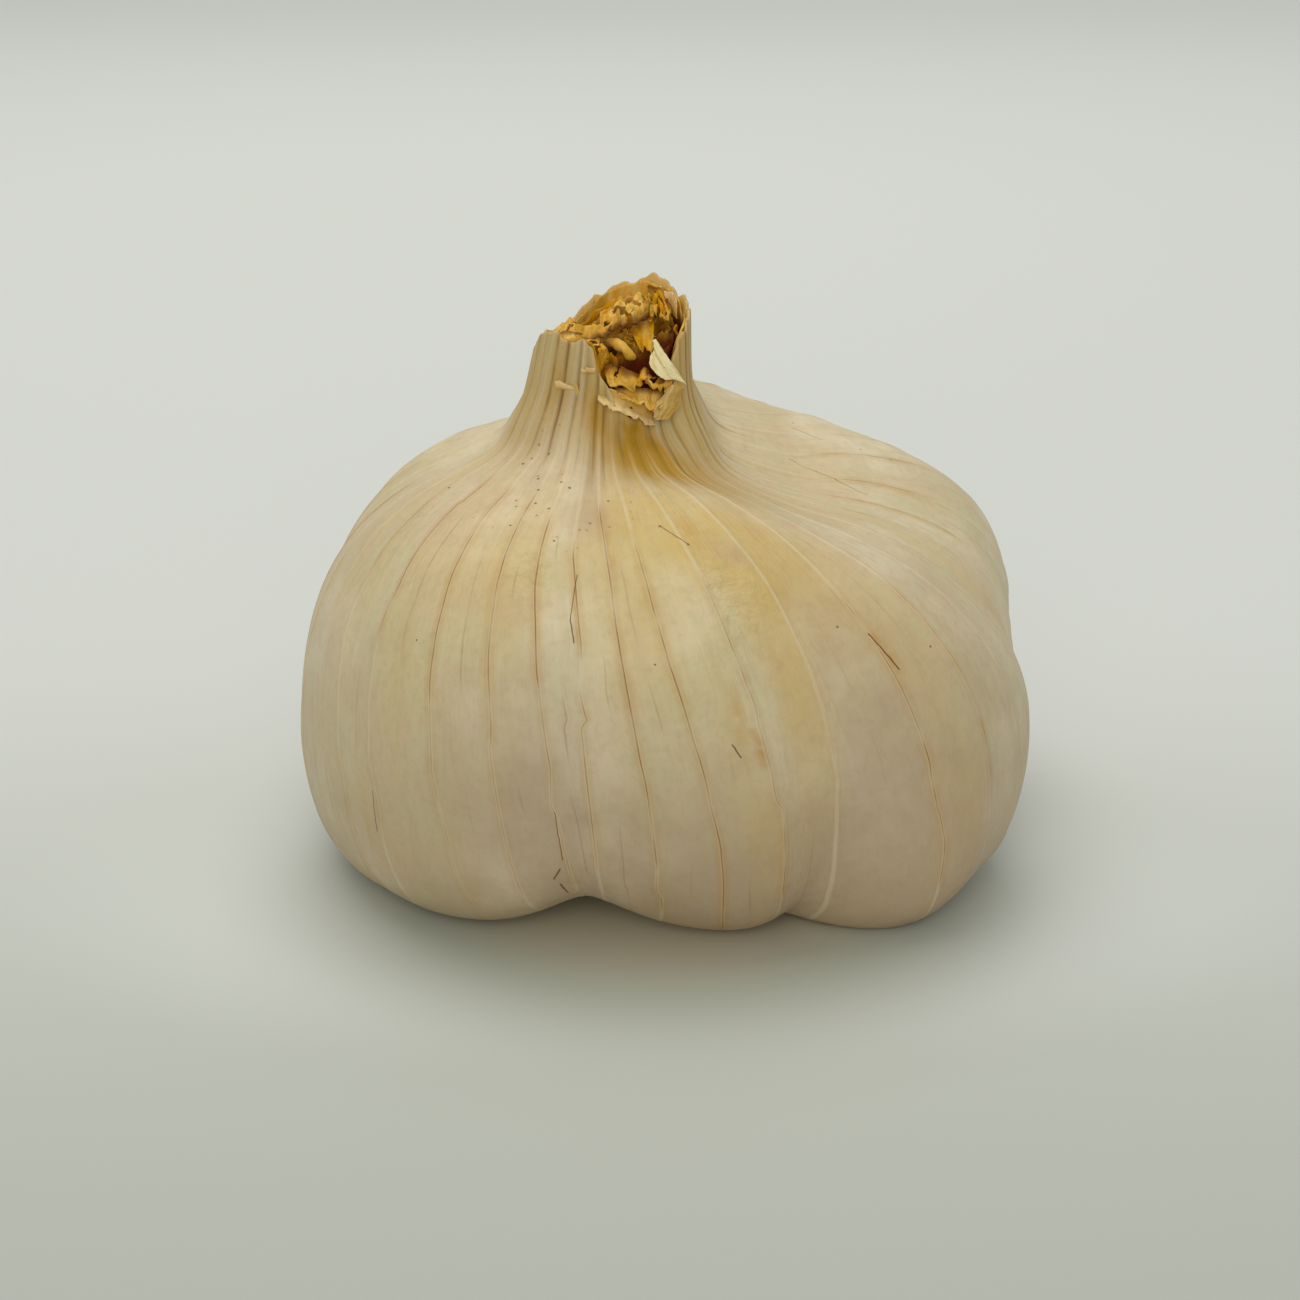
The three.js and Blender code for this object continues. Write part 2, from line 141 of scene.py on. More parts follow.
def noise(points: Array, seed: int, octaves: int = 1) -> Array:
    """Value noise: random corner values of a lattice blended smoothly, each octave half the size and height.

    Args:
        points: an array whose last axis is x, y, z, in lattice steps.
        seed: which noise.
        octaves: how many layers.

    Returns:
        The noise, about -1 to 1.
    """
    total = np.zeros(points.shape[:-1])
    height = 1.0
    for octave in range(octaves):
        p = points * 2.0**octave + OCTAVE_SHIFT * octave
        base = np.floor(p)
        f = p - base
        f = f * f * (3 - 2 * f)
        x, y, z = (base[..., k].astype(np.int64) for k in range(3))
        fx, fy, fz = (f[..., k] for k in range(3))
        layer = 0.0
        for dx in (0, 1):
            for dy in (0, 1):
                for dz in (0, 1):
                    weight = np.abs(1 - dx - fx) * np.abs(1 - dy - fy) * np.abs(1 - dz - fz)
                    layer = layer + weight * corner_value(x + dx, y + dy, z + dz, seed + octave)
        total += height * layer
        height *= 0.5
    return total


def line_noise(x: Array, seed: int, octaves: int = 1) -> Array:
    """Value noise along one line."""
    x = np.asarray(x, float)
    return noise(np.stack([x, 0 * x + 0.37, 0 * x + 0.71], axis=-1), seed, octaves)


# Meshes and nodes


def linear(colour: str) -> tuple[float, float, float, float]:
    """Turns an sRGB hex colour into linear red, green, blue and alpha."""
    parts = [int(colour[k : k + 2], 16) / 255 for k in (1, 3, 5)]
    straight = [c / 12.92 if c <= 0.04045 else ((c + 0.055) / 1.055) ** 2.4 for c in parts]
    return (straight[0], straight[1], straight[2], 1.0)


def add_node(
    tree: bpy.types.NodeTree, kind: str, inputs: dict | None = None, **settings: object
) -> bpy.types.Node:
    """Adds a shader node.

    Args:
        tree: the material's node tree.
        kind: the node's type name.
        inputs: a value or a socket to link for each input, by name or number.
        settings: the node's own settings.

    Returns:
        The node.
    """
    node = tree.nodes.new(kind)
    for name, value in settings.items():
        setattr(node, name, value)
    for name, value in (inputs or {}).items():
        if isinstance(value, bpy.types.NodeSocket):
            tree.links.new(value, node.inputs[name])
        else:
            node.inputs[name].default_value = value
    return node


def new_object(name: str, vertices: Array, faces: list, values: dict[str, Array]) -> bpy.types.Object:
    """Makes a smooth-shaded mesh object at the origin.

    Args:
        name: the piece's name.
        vertices: points in millimetres.
        faces: lists of vertex numbers, outward.
        values: for each attribute, one number or one vector for each vertex.

    Returns:
        The object, linked to the scene.
    """
    mesh = bpy.data.meshes.new(name)
    mesh.from_pydata((np.asarray(vertices, float) * MM).tolist(), [], faces)
    for key, numbers in values.items():
        numbers = np.asarray(numbers, np.float32)
        if numbers.ndim == 2:
            mesh.attributes.new(key, "FLOAT_VECTOR", "POINT").data.foreach_set("vector", numbers.ravel())
        else:
            mesh.attributes.new(key, "FLOAT", "POINT").data.foreach_set("value", numbers)
    mesh.polygons.foreach_set("use_smooth", [True] * len(mesh.polygons))
    mesh.update()
    piece = bpy.data.objects.new(name, mesh)
    bpy.context.scene.collection.objects.link(piece)
    return piece


def ring_faces(columns: int, rows: int) -> Array:
    """Quads of a grid whose columns close on themselves and whose vertices are numbered row by row."""
    i, j = np.meshgrid(np.arange(columns), np.arange(rows - 1), indexing="ij")
    k = (i + 1) % columns
    low, high = j * columns, (j + 1) * columns
    quads = np.stack([low + i, low + k, high + k, high + i], axis=-1)
    return quads.reshape(-1, 4)


def closed_rings(rings: Array, first_pole: Array, last_pole: Array) -> tuple[Array, list]:
    """Closes rows of rings into one body with a pole at each end.

    Args:
        rings: points as rows, columns, xyz. Rows go from the first pole to the last.
        first_pole: the point that closes the first ring.
        last_pole: the point that closes the last ring.

    Returns:
        The vertices, poles last, and the faces.
    """
    rows, columns = rings.shape[:2]
    vertices = np.vstack([rings.reshape(-1, 3), first_pole, last_pole])
    faces = ring_faces(columns, rows).tolist()
    a = np.arange(columns)
    b = (a + 1) % columns
    top = (rows - 1) * columns
    foot = np.full(columns, rows * columns)
    faces += np.stack([foot, b, a], axis=-1).tolist()
    faces += np.stack([foot + 1, top + a, top + b], axis=-1).tolist()
    return vertices, faces


def thread_rings(path: Array, thick: Array, corners: Array) -> Array:
    """Rings of a thin thread, flat rings round the points of its path.

    Args:
        path: points as rows of xyz.
        thick: the thread's half width at each point, as a column.
        corners: angles of a ring's corners, in radians.

    Returns:
        Points as rows, columns, xyz.
    """
    ring = np.stack([np.cos(corners), np.sin(corners), 0 * corners], axis=-1)
    return path[:, None] + thick[:, :, None] * ring[None]


def grid_normals(points: Array, wrap: bool) -> Array:
    """Unit normals of a grid of points: the cross product of its two directions.

    Args:
        points: columns, rows, xyz.
        wrap: whether the columns close on themselves.

    Returns:
        One normal for each point, to the right-hand side of columns times rows.
    """
    if wrap:
        across = np.roll(points, -1, axis=0) - np.roll(points, 1, axis=0)
    else:
        across = np.gradient(points, axis=0)
    up = np.gradient(points, axis=1)
    normal = np.cross(across, up)
    return normal / np.maximum(np.linalg.norm(normal, axis=-1, keepdims=True), 1e-9)


def thin_shell(points: Array, kept: Array, thickness: Array) -> tuple[Array, list, Array]:
    """Gives a grid sheet its thickness and closes it all round, also round its holes.

    Each kept cell has a face on both sides, half the thickness out along the normals, and each edge that
    has a kept cell on one side only gets a face between the two.

    Args:
        points: columns, rows, xyz.
        kept: columns - 1, rows - 1, true where the sheet has material.
        thickness: one number or one for each point.

    Returns:
        The vertices, the faces, and for each vertex the number of its grid point.
    """
    columns, rows = points.shape[:2]
    half = grid_normals(points, wrap=False) * np.broadcast_to(thickness, points.shape[:2])[..., None] / 2
    size = columns * rows
    vertices = np.vstack([(points + half).reshape(-1, 3), (points - half).reshape(-1, 3)])
    i, j = np.nonzero(kept)
    a, b, c, d = i * rows + j, (i + 1) * rows + j, (i + 1) * rows + j + 1, i * rows + j + 1
    faces = [np.stack([a, b, c, d], axis=-1), np.stack([a, d, c, b], axis=-1) + size]
    padded = np.pad(kept, 1)
    for start, end, di, dj in ((a, b, 0, -1), (b, c, 1, 0), (c, d, 0, 1), (d, a, -1, 0)):
        bare = ~padded[i + 1 + di, j + 1 + dj]
        p, q = start[bare], end[bare]
        faces.append(np.stack([p, p + size, q + size, q], axis=-1))
    quads = np.vstack(faces)
    used, numbers = np.unique(quads, return_inverse=True)
    return vertices[used], numbers.reshape(quads.shape).tolist(), used % size


@dataclass
class Gathered:
    """Meshes gathered into one piece."""

    vertices: list = field(default_factory=list)
    faces: list = field(default_factory=list)
    values: dict = field(default_factory=dict)
    count: int = 0

    def add(self, vertices: Array, faces: list, values: dict[str, Array]) -> None:
        """Adds a mesh, its face numbers moved past those already there."""
        self.vertices.append(vertices)
        self.faces += [[k + self.count for k in face] for face in faces]
        for key, numbers in values.items():
            self.values.setdefault(key, []).append(numbers)
        self.count += len(vertices)

    def build(self, name: str) -> bpy.types.Object:
        """Makes the gathered meshes one object."""
        values = {key: np.concatenate(parts) for key, parts in self.values.items()}
        return new_object(name, np.vstack(self.vertices), self.faces, values)


# Shape of the bulb

# Going round the bulb: azimuth, reach of the skin at its widest, radius of the foot,
# height of the widest place and height of the shoulder.
GIRTH = np.array([
    [-180, 27.7, 18.7, 11.0, 36.1],
    [-150, 28.1, 19.8, 12.4, 36.8],
    [-122, 29.4, 18.5, 14.8, 37.0],
    [-96, 28.5, 18.4, 15.0, 37.0],
    [-75, 29.6, 17.8, 15.0, 37.0],
    [-53, 32.5, 23.4, 14.0, 36.5],
    [-36, 37.8, 29.9, 12.0, 35.0],
    [-15, 38.6, 28.4, 12.5, 33.6],
    [6, 37.7, 26.0, 15.0, 33.7],
    [26, 40.4, 24.5, 19.4, 36.2],
    [50, 35.0, 22.0, 19.0, 39.2],
    [73, 31.1, 20.0, 15.5, 40.8],
    [95, 29.8, 19.0, 15.0, 38.3],
    [117, 29.5, 19.5, 15.0, 37.0],
    [140, 29.5, 19.5, 15.8, 37.3],
    [160, 27.7, 19.0, 13.2, 36.7],
])

# Height of the torn edge going round the neck. It is torn right down at the front.
TORN_EDGE = np.array([
    [-180, 46.5], [-150, 48.3], [-120, 48.4], [-105, 47.9], [-98, 45.7], [-90, 44.2], [-78, 42.6],
    [-64, 41.8], [-50, 42.2], [-41, 43.4], [-34, 45.8], [-25, 48.0], [0, 49.1],
    [30, 50.6], [60, 51.2], [90, 50.6], [120, 48.3], [150, 47.0],
])

# Place s, then how much of the hollow's radius, the foot, the reach and the neck make the radius there,
# then how much of the hollow's height, the widest place, the shoulder and the torn edge make the height.
MERIDIAN = np.array([
    [0.00, 1, 0, 0, 0, 1, 0, 0, 0],
    [0.07, 0.55, 0.45, 0, 0, 0.35, 0, 0, 0],
    [0.15, 0, 1, 0, 0, 0, 0, 0, 0],
    [0.22, 0, 0.48, 0.52, 0, 0, 0.1, 0, 0],
    [0.30, 0, 0.14, 0.86, 0, 0, 0.45, 0, 0],
    [0.38, 0, 0, 1, 0, 0, 1, 0, 0],
    [0.46, 0, 0, 0.985, 0, 0, 0.7, 0.3, 0],
    [0.54, 0, 0, 0.92, 0, 0, 0.44, 0.56, 0],
    [0.61, 0, 0, 0.8, 0, 0, 0.23, 0.77, 0],
    [0.68, 0, 0, 0.62, 0.1, 0, 0.09, 0.91, 0],
    [0.75, 0, 0, 0.37, 0.42, 0, 0, 1, 0],
    [0.81, 0, 0, 0.12, 0.94, 0, 0, 0.84, 0.16],
    [0.86, 0, 0, 0.04, 1.04, 0, 0, 0.62, 0.38],
    [0.91, 0, 0, 0, 1.05, 0, 0, 0.4, 0.6],
    [1.00, 0, 0, 0, 0.93, 0, 0, 0, 1],
])

# Furrows between the cloves: azimuth at s 0.5, half width in degrees, depth at the foot, at the middle and
# near the shoulder, how far the furrow's foot stands off the ground, and degrees it drifts over all of s.
FURROWS = (
    (-94, 14.5, 2.8, 0.6, 0.2, 2.9, 0),
    (-52, 6.5, 2.2, 0.6, 0.4, 1.2, 0),
    (-27, 7, 0.8, 0.5, 0.2, 0.3, 0),
    (-9, 8.5, 1.3, 1.3, 1.0, 1.5, -60),
    (50, 9, 2.5, 1.0, 0.8, 2.0, 0),
    (95, 9, 2.5, 1.0, 0.8, 2.0, 0),
    (140, 9, 2.5, 1.0, 0.8, 2.0, 0),
    (176, 8, 0.8, 0.8, 0.5, 1.0, 0),
    (-140, 8, 0.3, 0.2, 0.1, 0.2, 0),
)


@dataclass(frozen=True)
class BulbShape:
    """The smooth form that the skin, the neck's leaves and the root plate are set out from.

    The furrows lift the foot round the place lift_at, a place and half width in s. The tears are sine waves:
    how many there are in a turn, their height and phase. The lip is an azimuth, half width and reach.
    """

    axis: tuple[float, float] = (-5.2, -0.65)
    hollow_radius: float = 8.5
    hollow_height: float = 4.5
    foot_flat: float = 0.3
    neck_radius: float = 7.0
    neck_lean: float = 1.2
    lean_from: float = 38.0
    lean_rise: float = 15.0
    lean_power: float = 1.3
    furrow_power: float = 1.6
    lift_at: tuple[float, float] = (0.16, 0.12)
    tears: tuple = ((7, 0.25, 1.0), (16, 0.15, 2.2), (31, 0.08, 0.4))
    lip: tuple[float, float, float] = (-80.0, 20.0, 0.9)
    lip_from: float = 0.92

    def edge_height(self, azimuth: Array) -> Array:
        """Height of the torn edge: the smooth curve plus a few sine waves."""
        height = around(TORN_EDGE, azimuth)
        for count, size, phase in self.tears:
            height = height + size * np.sin(np.radians(count * azimuth) + phase)
        return height

    def profile(self, azimuth: Array, s: Array, edge: Array | None = None) -> tuple[Array, Array]:
        """Radius from the neck's axis, and height, of the smooth skin.

        Both are sums of four sizes, each times its share at s. The furrows then pull the radius in and lift
        the foot by bells in azimuth, and the lip of the front tear curls out.

        Args:
            azimuth: degrees, any shape.
            s: place along the skin, same shape.
            edge: height of the torn edge, or None for its plain height.

        Returns:
            Radius and height.
        """
        reach, foot, widest, shoulder = (around(GIRTH[:, [0, k]], azimuth) for k in (1, 2, 3, 4))
        edge = self.edge_height(azimuth) if edge is None else edge
        shares = [along(MERIDIAN[:, [0, k]], s) for k in range(1, 9)]
        r = sum(w * v for w, v in zip(shares[:4], (self.hollow_radius, foot, reach, self.neck_radius)))
        z = sum(w * v for w, v in zip(shares[4:], (self.hollow_height, widest, shoulder, edge)))
        for at, half_width, low, middle, high, lift, drift in FURROWS:
            away = turn_between(azimuth, at + drift * (s - 0.5))
            shape = np.exp(-(np.abs(away / half_width) ** self.furrow_power))
            knots = ((0.1, 0.6 * low), (0.22, low), (0.42, middle), (0.62, high), (0.78, 0.3 * high))
            r = r - along(((0, 0), *knots, (1, 0)), s) * shape
            z = z + lift * shape * bell(s - self.lift_at[0], self.lift_at[1])
        at, spread, out = self.lip
        r = r + out * bell(turn_between(azimuth, at), spread) * step(self.lip_from, 1, s)
        return r, z - self.foot_flat

    def place(self, azimuth: Array, r: Array, z: Array) -> Array:
        """Points at a radius from the neck's axis, which leans to +X above the shoulder."""
        azimuth, r, z = np.broadcast_arrays(azimuth, r, z)
        lean = self.neck_lean * np.clip((z - self.lean_from) / self.lean_rise, 0, 1) ** self.lean_power
        angle = np.radians(azimuth)
        x = r * np.cos(angle) + self.axis[0] + lean
        return np.stack([x, r * np.sin(angle) + self.axis[1], z], axis=-1)

    def on_skin(self, azimuth: float, s: float) -> tuple[Array, Array]:
        """A point of the smooth skin and its outward normal, from small steps both ways."""
        azimuths = np.array([azimuth, azimuth + 0.1, azimuth])
        places = np.array([s, s, s + 0.001])
        point, right, up = self.place(azimuths, *self.profile(azimuths, places))
        normal = np.cross(right - point, up - point)
        return point, normal / np.linalg.norm(normal)


# The skin


@dataclass(frozen=True)
class Vein:
    """One vein of the skin: its azimuth at the torn edge and how it runs and darkens on its way down."""

    azimuth: float
    wander: float = 0.0
    dark: tuple = ()


# The veins of the front are set as they lie on the bulb, with their brown stretches as (from s, to s, how
# brown). The others are much alike, and their stretches are drawn at random.
VEINS = (
    Vein(-173, 0),
    Vein(-164, 0, ((0.42, 0.30, 0.4),)),
    Vein(-154, 1, ((0.72, 0.58, 0.7), (0.40, 0.24, 0.8))),
    Vein(-141, -2, ((0.76, 0.54, 0.9), (0.40, 0.34, 0.9))),
    Vein(-129, 1, ((0.75, 0.48, 0.8), (0.48, 0.22, 0.45))),
    Vein(-118, 0, ((0.75, 0.44, 0.75), (0.44, 0.28, 0.4))),
    Vein(-110, 1, ((0.70, 0.50, 0.9), (0.50, 0.24, 0.5))),
    Vein(-102, -1, ((0.66, 0.55, 1.0), (0.50, 0.32, 0.55))),
    Vein(-96, 4, ((0.72, 0.36, 0.9), (0.36, 0.26, 0.6))),
    Vein(-88, 7, ((0.68, 0.20, 0.95),)),
    Vein(-77, 6, ((0.62, 0.28, 0.7),)),
    Vein(-65, 2, ((0.50, 0.36, 0.25),)),
    Vein(-53, 2, ((0.60, 0.30, 0.75),)),
    Vein(-43, 2, ((0.62, 0.34, 0.7),)),
    Vein(-33, 1, ((0.50, 0.34, 0.3),)),
    Vein(-22, 0, ((0.70, 0.60, 0.3),)),
    Vein(-12, 0, ((0.72, 0.60, 0.5),)),
    Vein(-3, 0, ((0.73, 0.58, 0.9),)),
    Vein(6, 0, ((0.72, 0.62, 0.6),)),
    Vein(15, 0, ((0.73, 0.60, 0.7),)),
    Vein(24, 0, ((0.70, 0.55, 0.4),)),
) + tuple(Vein(a) for a in (34, 44, 54, 65, 75, 85, 95, 105, 115, 126, 136, 146, 156, 166, 177))


class Mask(Enum):
    """What a soft patch of the skin does there."""

    STRAW = "straw"
    VIOLET_AND_SHADE = "violet_and_shade"
    OCHRE_AND_SHADOW = "ochre"
    OLIVE = "olive"
    ORANGE = "orange"
    SPECKLED = "speckled"
    CRINKLED = "crinkled"


@dataclass(frozen=True)
class Patch:
    """A soft patch on the skin: where its middle is among the veins, its half widths and its strength."""

    mask: Mask
    azimuth: float
    s: float
    wide: float
    long: float
    strength: float


# Soft patches by mask: azimuth and s of the middle, half widths in degrees and in s, and strength.
PATCH_ROWS = {
    # Ochre: stains round the neck; under the front tear they are partly painted shadow of the curled lip.
    Mask.OCHRE_AND_SHADOW: (
        (-70, 0.93, 15, 0.09, 1.0), (-62, 0.85, 16, 0.06, 1.0), (-45, 0.80, 16, 0.05, 0.5),
        (-84, 0.84, 10, 0.06, 0.5), (-96, 0.83, 7, 0.05, 0.3), (-98, 0.91, 9, 0.05, 0.8),
        (-128, 0.93, 5, 0.05, 0.5), (-30, 0.82, 20, 0.05, 0.25), (-150, 0.82, 20, 0.05, 0.2),
    ),
    Mask.STRAW: (
        (-76, 0.69, 22, 0.08, 1.0), (-58, 0.62, 12, 0.10, 0.7), (-67, 0.50, 3.5, 0.12, 0.7),
        (-79, 0.34, 3, 0.07, 0.6), (-120, 0.64, 14, 0.08, 0.4), (-48, 0.36, 3, 0.10, 0.5),
        (-147, 0.36, 2.5, 0.08, 0.5), (-90, 0.56, 6, 0.07, 0.6), (-20, 0.93, 20, 0.10, 0.5),
        (-92, 0.72, 12, 0.06, 0.5),
    ),
    # Violet: the skin's own grey-violet, and painted shade in the furrow between the left and middle cloves,
    # over the lower and right-hand lobes and on the left of the neck.
    Mask.VIOLET_AND_SHADE: (
        (-100, 0.71, 8, 0.035, 0.9), (-67, 0.655, 2.5, 0.02, 0.6), (-57, 0.46, 7, 0.13, 0.6),
        (-115, 0.38, 16, 0.14, 0.7), (-90, 0.29, 16, 0.09, 1.0), (-58, 0.28, 20, 0.10, 1.0),
        (-108, 0.93, 8, 0.05, 0.6), (-150, 0.28, 16, 0.09, 0.4), (-124, 0.92, 12, 0.08, 1.0),
        (-99, 0.80, 5, 0.06, 0.9), (-111, 0.33, 8, 0.12, 0.6), (-44, 0.45, 24, 0.24, 0.5),
    ),
    Mask.OLIVE: (
        (-30, 0.58, 14, 0.14, 0.5), (-160, 0.45, 14, 0.18, 0.6), (10, 0.45, 16, 0.18, 0.5),
        (-40, 0.88, 22, 0.10, 0.3), (-140, 0.88, 16, 0.09, 0.4),
    ),
    Mask.SPECKLED: (
        (-122, 0.78, 20, 0.08, 1.0), (-100, 0.75, 14, 0.07, 1.0),
    ),
    Mask.CRINKLED: (
        (-72, 0.60, 6, 0.05, 1.0), (-112, 0.63, 6, 0.04, 0.7),
    ),
    Mask.ORANGE: (
        (-52.3, 0.55, 1.6, 0.025, 1.0), (-78.5, 0.445, 0.9, 0.02, 1.0), (-80.2, 0.48, 0.8, 0.03, 0.6),
        (-103, 0.575, 0.9, 0.03, 0.9), (-72, 0.69, 4.0, 0.025, 0.5), (-94, 0.65, 1.5, 0.03, 0.5),
    ),
}
PATCHES = tuple(Patch(mask, *row) for mask, rows in PATCH_ROWS.items() for row in rows)


@dataclass(frozen=True)
class Mark:
    """A short brown slit in the skin, or a dot where both ends are alike: azimuths, places and half width."""

    azimuths: tuple[float, float]
    places: tuple[float, float]
    half_width: float


SLITS = (
    Mark((-74.8, -69.8), (0.695, 0.667), 0.06),
    Mark((-69.4, -68.2), (0.447, 0.434), 0.08),
    Mark((-98.0, -97.2), (0.372, 0.324), 0.053),
    Mark((-97.8, -99.2), (0.313, 0.299), 0.098),
    Mark((-98.2, -97.2), (0.288, 0.265), 0.112),
    Mark((-45.2, -43.2), (0.566, 0.532), 0.09),
    Mark((-95.2, -95.8), (0.625, 0.575), 0.06),
    Mark((-95.8, -94.8), (0.575, 0.553), 0.075),
    Mark((-131.5, -131.8), (0.377, 0.339), 0.068),
    Mark((17.0, 12.0), (0.753, 0.720), 0.045),
    Mark((12.0, 6.5), (0.720, 0.686), 0.045),
    Mark((31.8, 26.5), (0.728, 0.714), 0.045),
)
# Dots: azimuth, place and half width.
DOTS = (
    (-74.8, 0.695, 0.16), (-69.8, 0.667, 0.16), (-129.5, 0.796, 0.17), (-114.5, 0.688, 0.15),
    (-101.8, 0.669, 0.13), (-88.2, 0.739, 0.15), (-80.8, 0.532, 0.12), (-49.0, 0.570, 0.13),
    (-37.0, 0.556, 0.13), (-124.0, 0.543, 0.11),
)
MARKS = SLITS + tuple(Mark((at, at), (s, s), half_width) for at, s, half_width in DOTS)


@dataclass
class Skin:
    """The veined, pleated papery skin, closed over the hollow underneath and down inside the neck.

    The dimple in the right clove is its azimuth, s and depth. The torn edge is frayed most about an azimuth,
    within a half width.
    """

    shape: BulbShape
    columns_between: int = 14
    rows: int = 178
    foot_rows: int = 14
    foot_end: float = 0.13
    body_start: float = 0.138
    drift: float = 18.0
    bends: int = 11
    kink: float = 0.38
    wiggle: float = 0.12
    hairs: int = 3
    crowding: float = 0.7
    crease_wander: float = 0.2
    frayed: float = 0.10
    frayed_more: float = 0.16
    frayed_most_at: tuple[float, float] = (45.0, 40.0)
    path_seed: int = 5
    relief_seed: int = 3
    stretch_seed: int = 12
    crease_seed: int = 14
    vein_height: float = 0.11
    pleat_height: float = 0.15
    scallop_depth: float = 0.07
    fold_height: float = 0.09
    swell_height: float = 0.15
    ripple_height: float = 0.07
    ridge_width: float = 0.2
    dimple: tuple[float, float, float] = (-29.5, 0.6, 0.35)
    fibre_turn: float = 32.0
    fibre_run: float = 0.14
    paper: float = 0.22
    cup_floor: float = 41.0
    cup_radius: float = 5.4
    cup_rows: int = 7

    def vein_paths(self, s: Array) -> Array:
        """Azimuth of each vein at each s: its own azimuth, the common drift, its wander, bends and kinks."""
        down = 1 - s
        rng = np.random.default_rng(self.path_seed)
        paths = []
        for k, vein in enumerate(VEINS):
            bends = np.sort(rng.uniform(0.1, 0.86, self.bends))
            fade = step(0.95, 0.8, s)
            kinks = np.interp(s, bends, rng.normal(0, self.kink, len(bends))) * fade
            kinks = kinks + self.wiggle * line_noise(s * 30 + 31.7 * k, seed=5, octaves=2) * fade
            paths.append(vein.azimuth + self.drift * down + vein.wander * step(0.7, 0.15, s) + kinks)
        return np.array(paths)

    def layout(self) -> dict[str, Array]:
        """Sets out the grid of columns between the veins.

        Columns crowd towards the veins on the body, by a power of their share of the way to a crease about
        the middle between two veins, and stand evenly on the neck.

        Returns:
            Azimuth, s, nearest vein, gap number, degrees from the nearest vein and from the crease, and each
            column's own azimuth at the torn edge.
        """
        foot = np.linspace(0, self.foot_end, self.foot_rows)
        s = np.concatenate([foot, np.linspace(self.body_start, 1, self.rows - self.foot_rows)])
        paths = self.vein_paths(s)
        gap = (np.roll(paths, -1, axis=0) - paths) % 360
        share = np.arange(self.columns_between) / self.columns_between
        power = 1 + self.crowding - self.crowding * step(0.66, 0.86, s)
        near = np.minimum(share, 1 - share)
        crowded = 0.5 * (2 * near[:, None]) ** power[None, :]
        crowded = np.where(share[:, None] <= 0.5, crowded, 1 - crowded)
        k = np.arange(len(VEINS))[:, None]
        crease = 0.5 + self.crease_wander * line_noise(s[None, :] * 3 + 7.7 * k, seed=15, octaves=2)
        crease = crease[:, None, :]
        low = crowded[None] * 2 * crease
        high = crease + (crowded[None] - 0.5) * 2 * (1 - crease)
        place = np.where(crowded[None] <= 0.5, low, high)
        gap = gap[:, None, :]
        rows = (-1, len(s))
        numbers = np.repeat(np.arange(len(VEINS)), len(share))
        azimuth = (paths[:, None, :] + gap * place).reshape(rows)
        return {
            "azimuth": azimuth,
            "s": np.broadcast_to(s, azimuth.shape),
            "gap": numbers,
            "vein": (numbers + (np.tile(share, len(VEINS)) > 0.5)) % len(VEINS),
            "from_vein": (gap * np.where(crowded[None] <= 0.5, place, 1 - place)).reshape(rows),
            "from_crease": (gap * np.abs(place - crease)).reshape(rows),
            "rounded": (1 - np.abs(2 * crowded - 1)[None] + 0 * gap).reshape(rows),
            "own": azimuth[:, -1] % 360,
        }

    def edge(self, azimuth: Array, s: Array) -> Array:
        """The torn edge's height with its fine frayed teeth, which fade out below the edge."""
        a = np.radians(azimuth)
        ring = np.stack([np.cos(a), np.sin(a), 0 * a], axis=-1)
        at, spread = self.frayed_most_at
        ragged = self.frayed + self.frayed_more * bell(turn_between(azimuth, at), spread)
        fine = noise(ring * 7, seed=41, octaves=5)
        return self.shape.edge_height(azimuth) + ragged * fine * step(0.9, 1, s)

    def stretches(self, numbers: Array, places: Array) -> Array:
        """How brown each vein is along its length, from its stretches, unevenly."""
        rng = np.random.default_rng(self.stretch_seed)
        brown = np.zeros((len(VEINS), len(places)))
        for k, vein in enumerate(VEINS):
            stretches = vein.dark
            if not stretches:
                top = rng.uniform(0.55, 0.75)
                stretches = ((top, top - rng.uniform(0.1, 0.3), rng.uniform(0.4, 0.9)),)
            for top, low, strength in stretches:
                inside = step(low - 0.02, low + 0.02, places) * step(top + 0.02, top - 0.02, places)
                brown[k] = np.maximum(brown[k], strength * inside)
            uneven = 0.75 + 0.5 * line_noise(places * 45 + 9.1 * k, seed=77, octaves=2)
            brown[k] = np.clip(brown[k] * uneven + 0.1, 0, 1)
        return brown[numbers]

    def creases(self, numbers: Array, places: Array) -> Array:
        """How dark the crease between two veins is: short faint hairs on the body, and painted shade in the
        creases between the neck's pleats.
        """
        rng = np.random.default_rng(self.crease_seed)
        brown = np.zeros((len(VEINS), len(places)))
        for k in range(len(VEINS)):
            for _ in range(self.hairs):
                top = rng.uniform(0.3, 0.72)
                low = top - rng.uniform(0.02, 0.10)
                inside = step(low - 0.01, low + 0.02, places) * step(top + 0.01, top - 0.02, places)
                brown[k] = np.maximum(brown[k], rng.uniform(0.1, 0.45) * inside)
            # Painted shade down the grooves between the neck's pleats.
            groove_shade = rng.uniform(0.1, 0.9) * step(0.74, 0.84, places)
            brown[k] = brown[k] + groove_shade * (0.7 + 0.5 * line_noise(places * 20 + 3.3 * k, seed=78, octaves=2))
        return np.clip(brown, 0, 1)[numbers]

    def masks(self, own: Array, s: Array) -> dict[str, Array]:
        """Strength of each mask: the sum of its patches, as bells among the veins."""
        total = {mask: np.zeros_like(s) for mask in Mask}
        for patch in PATCHES:
            away = turn_between(own[:, None], patch.azimuth) / patch.wide
            total[patch.mask] += patch.strength * np.exp(-(away**2) - ((s - patch.s) / patch.long) ** 2)
        return {mask.value: np.clip(strength, 0, 1) for mask, strength in total.items()}

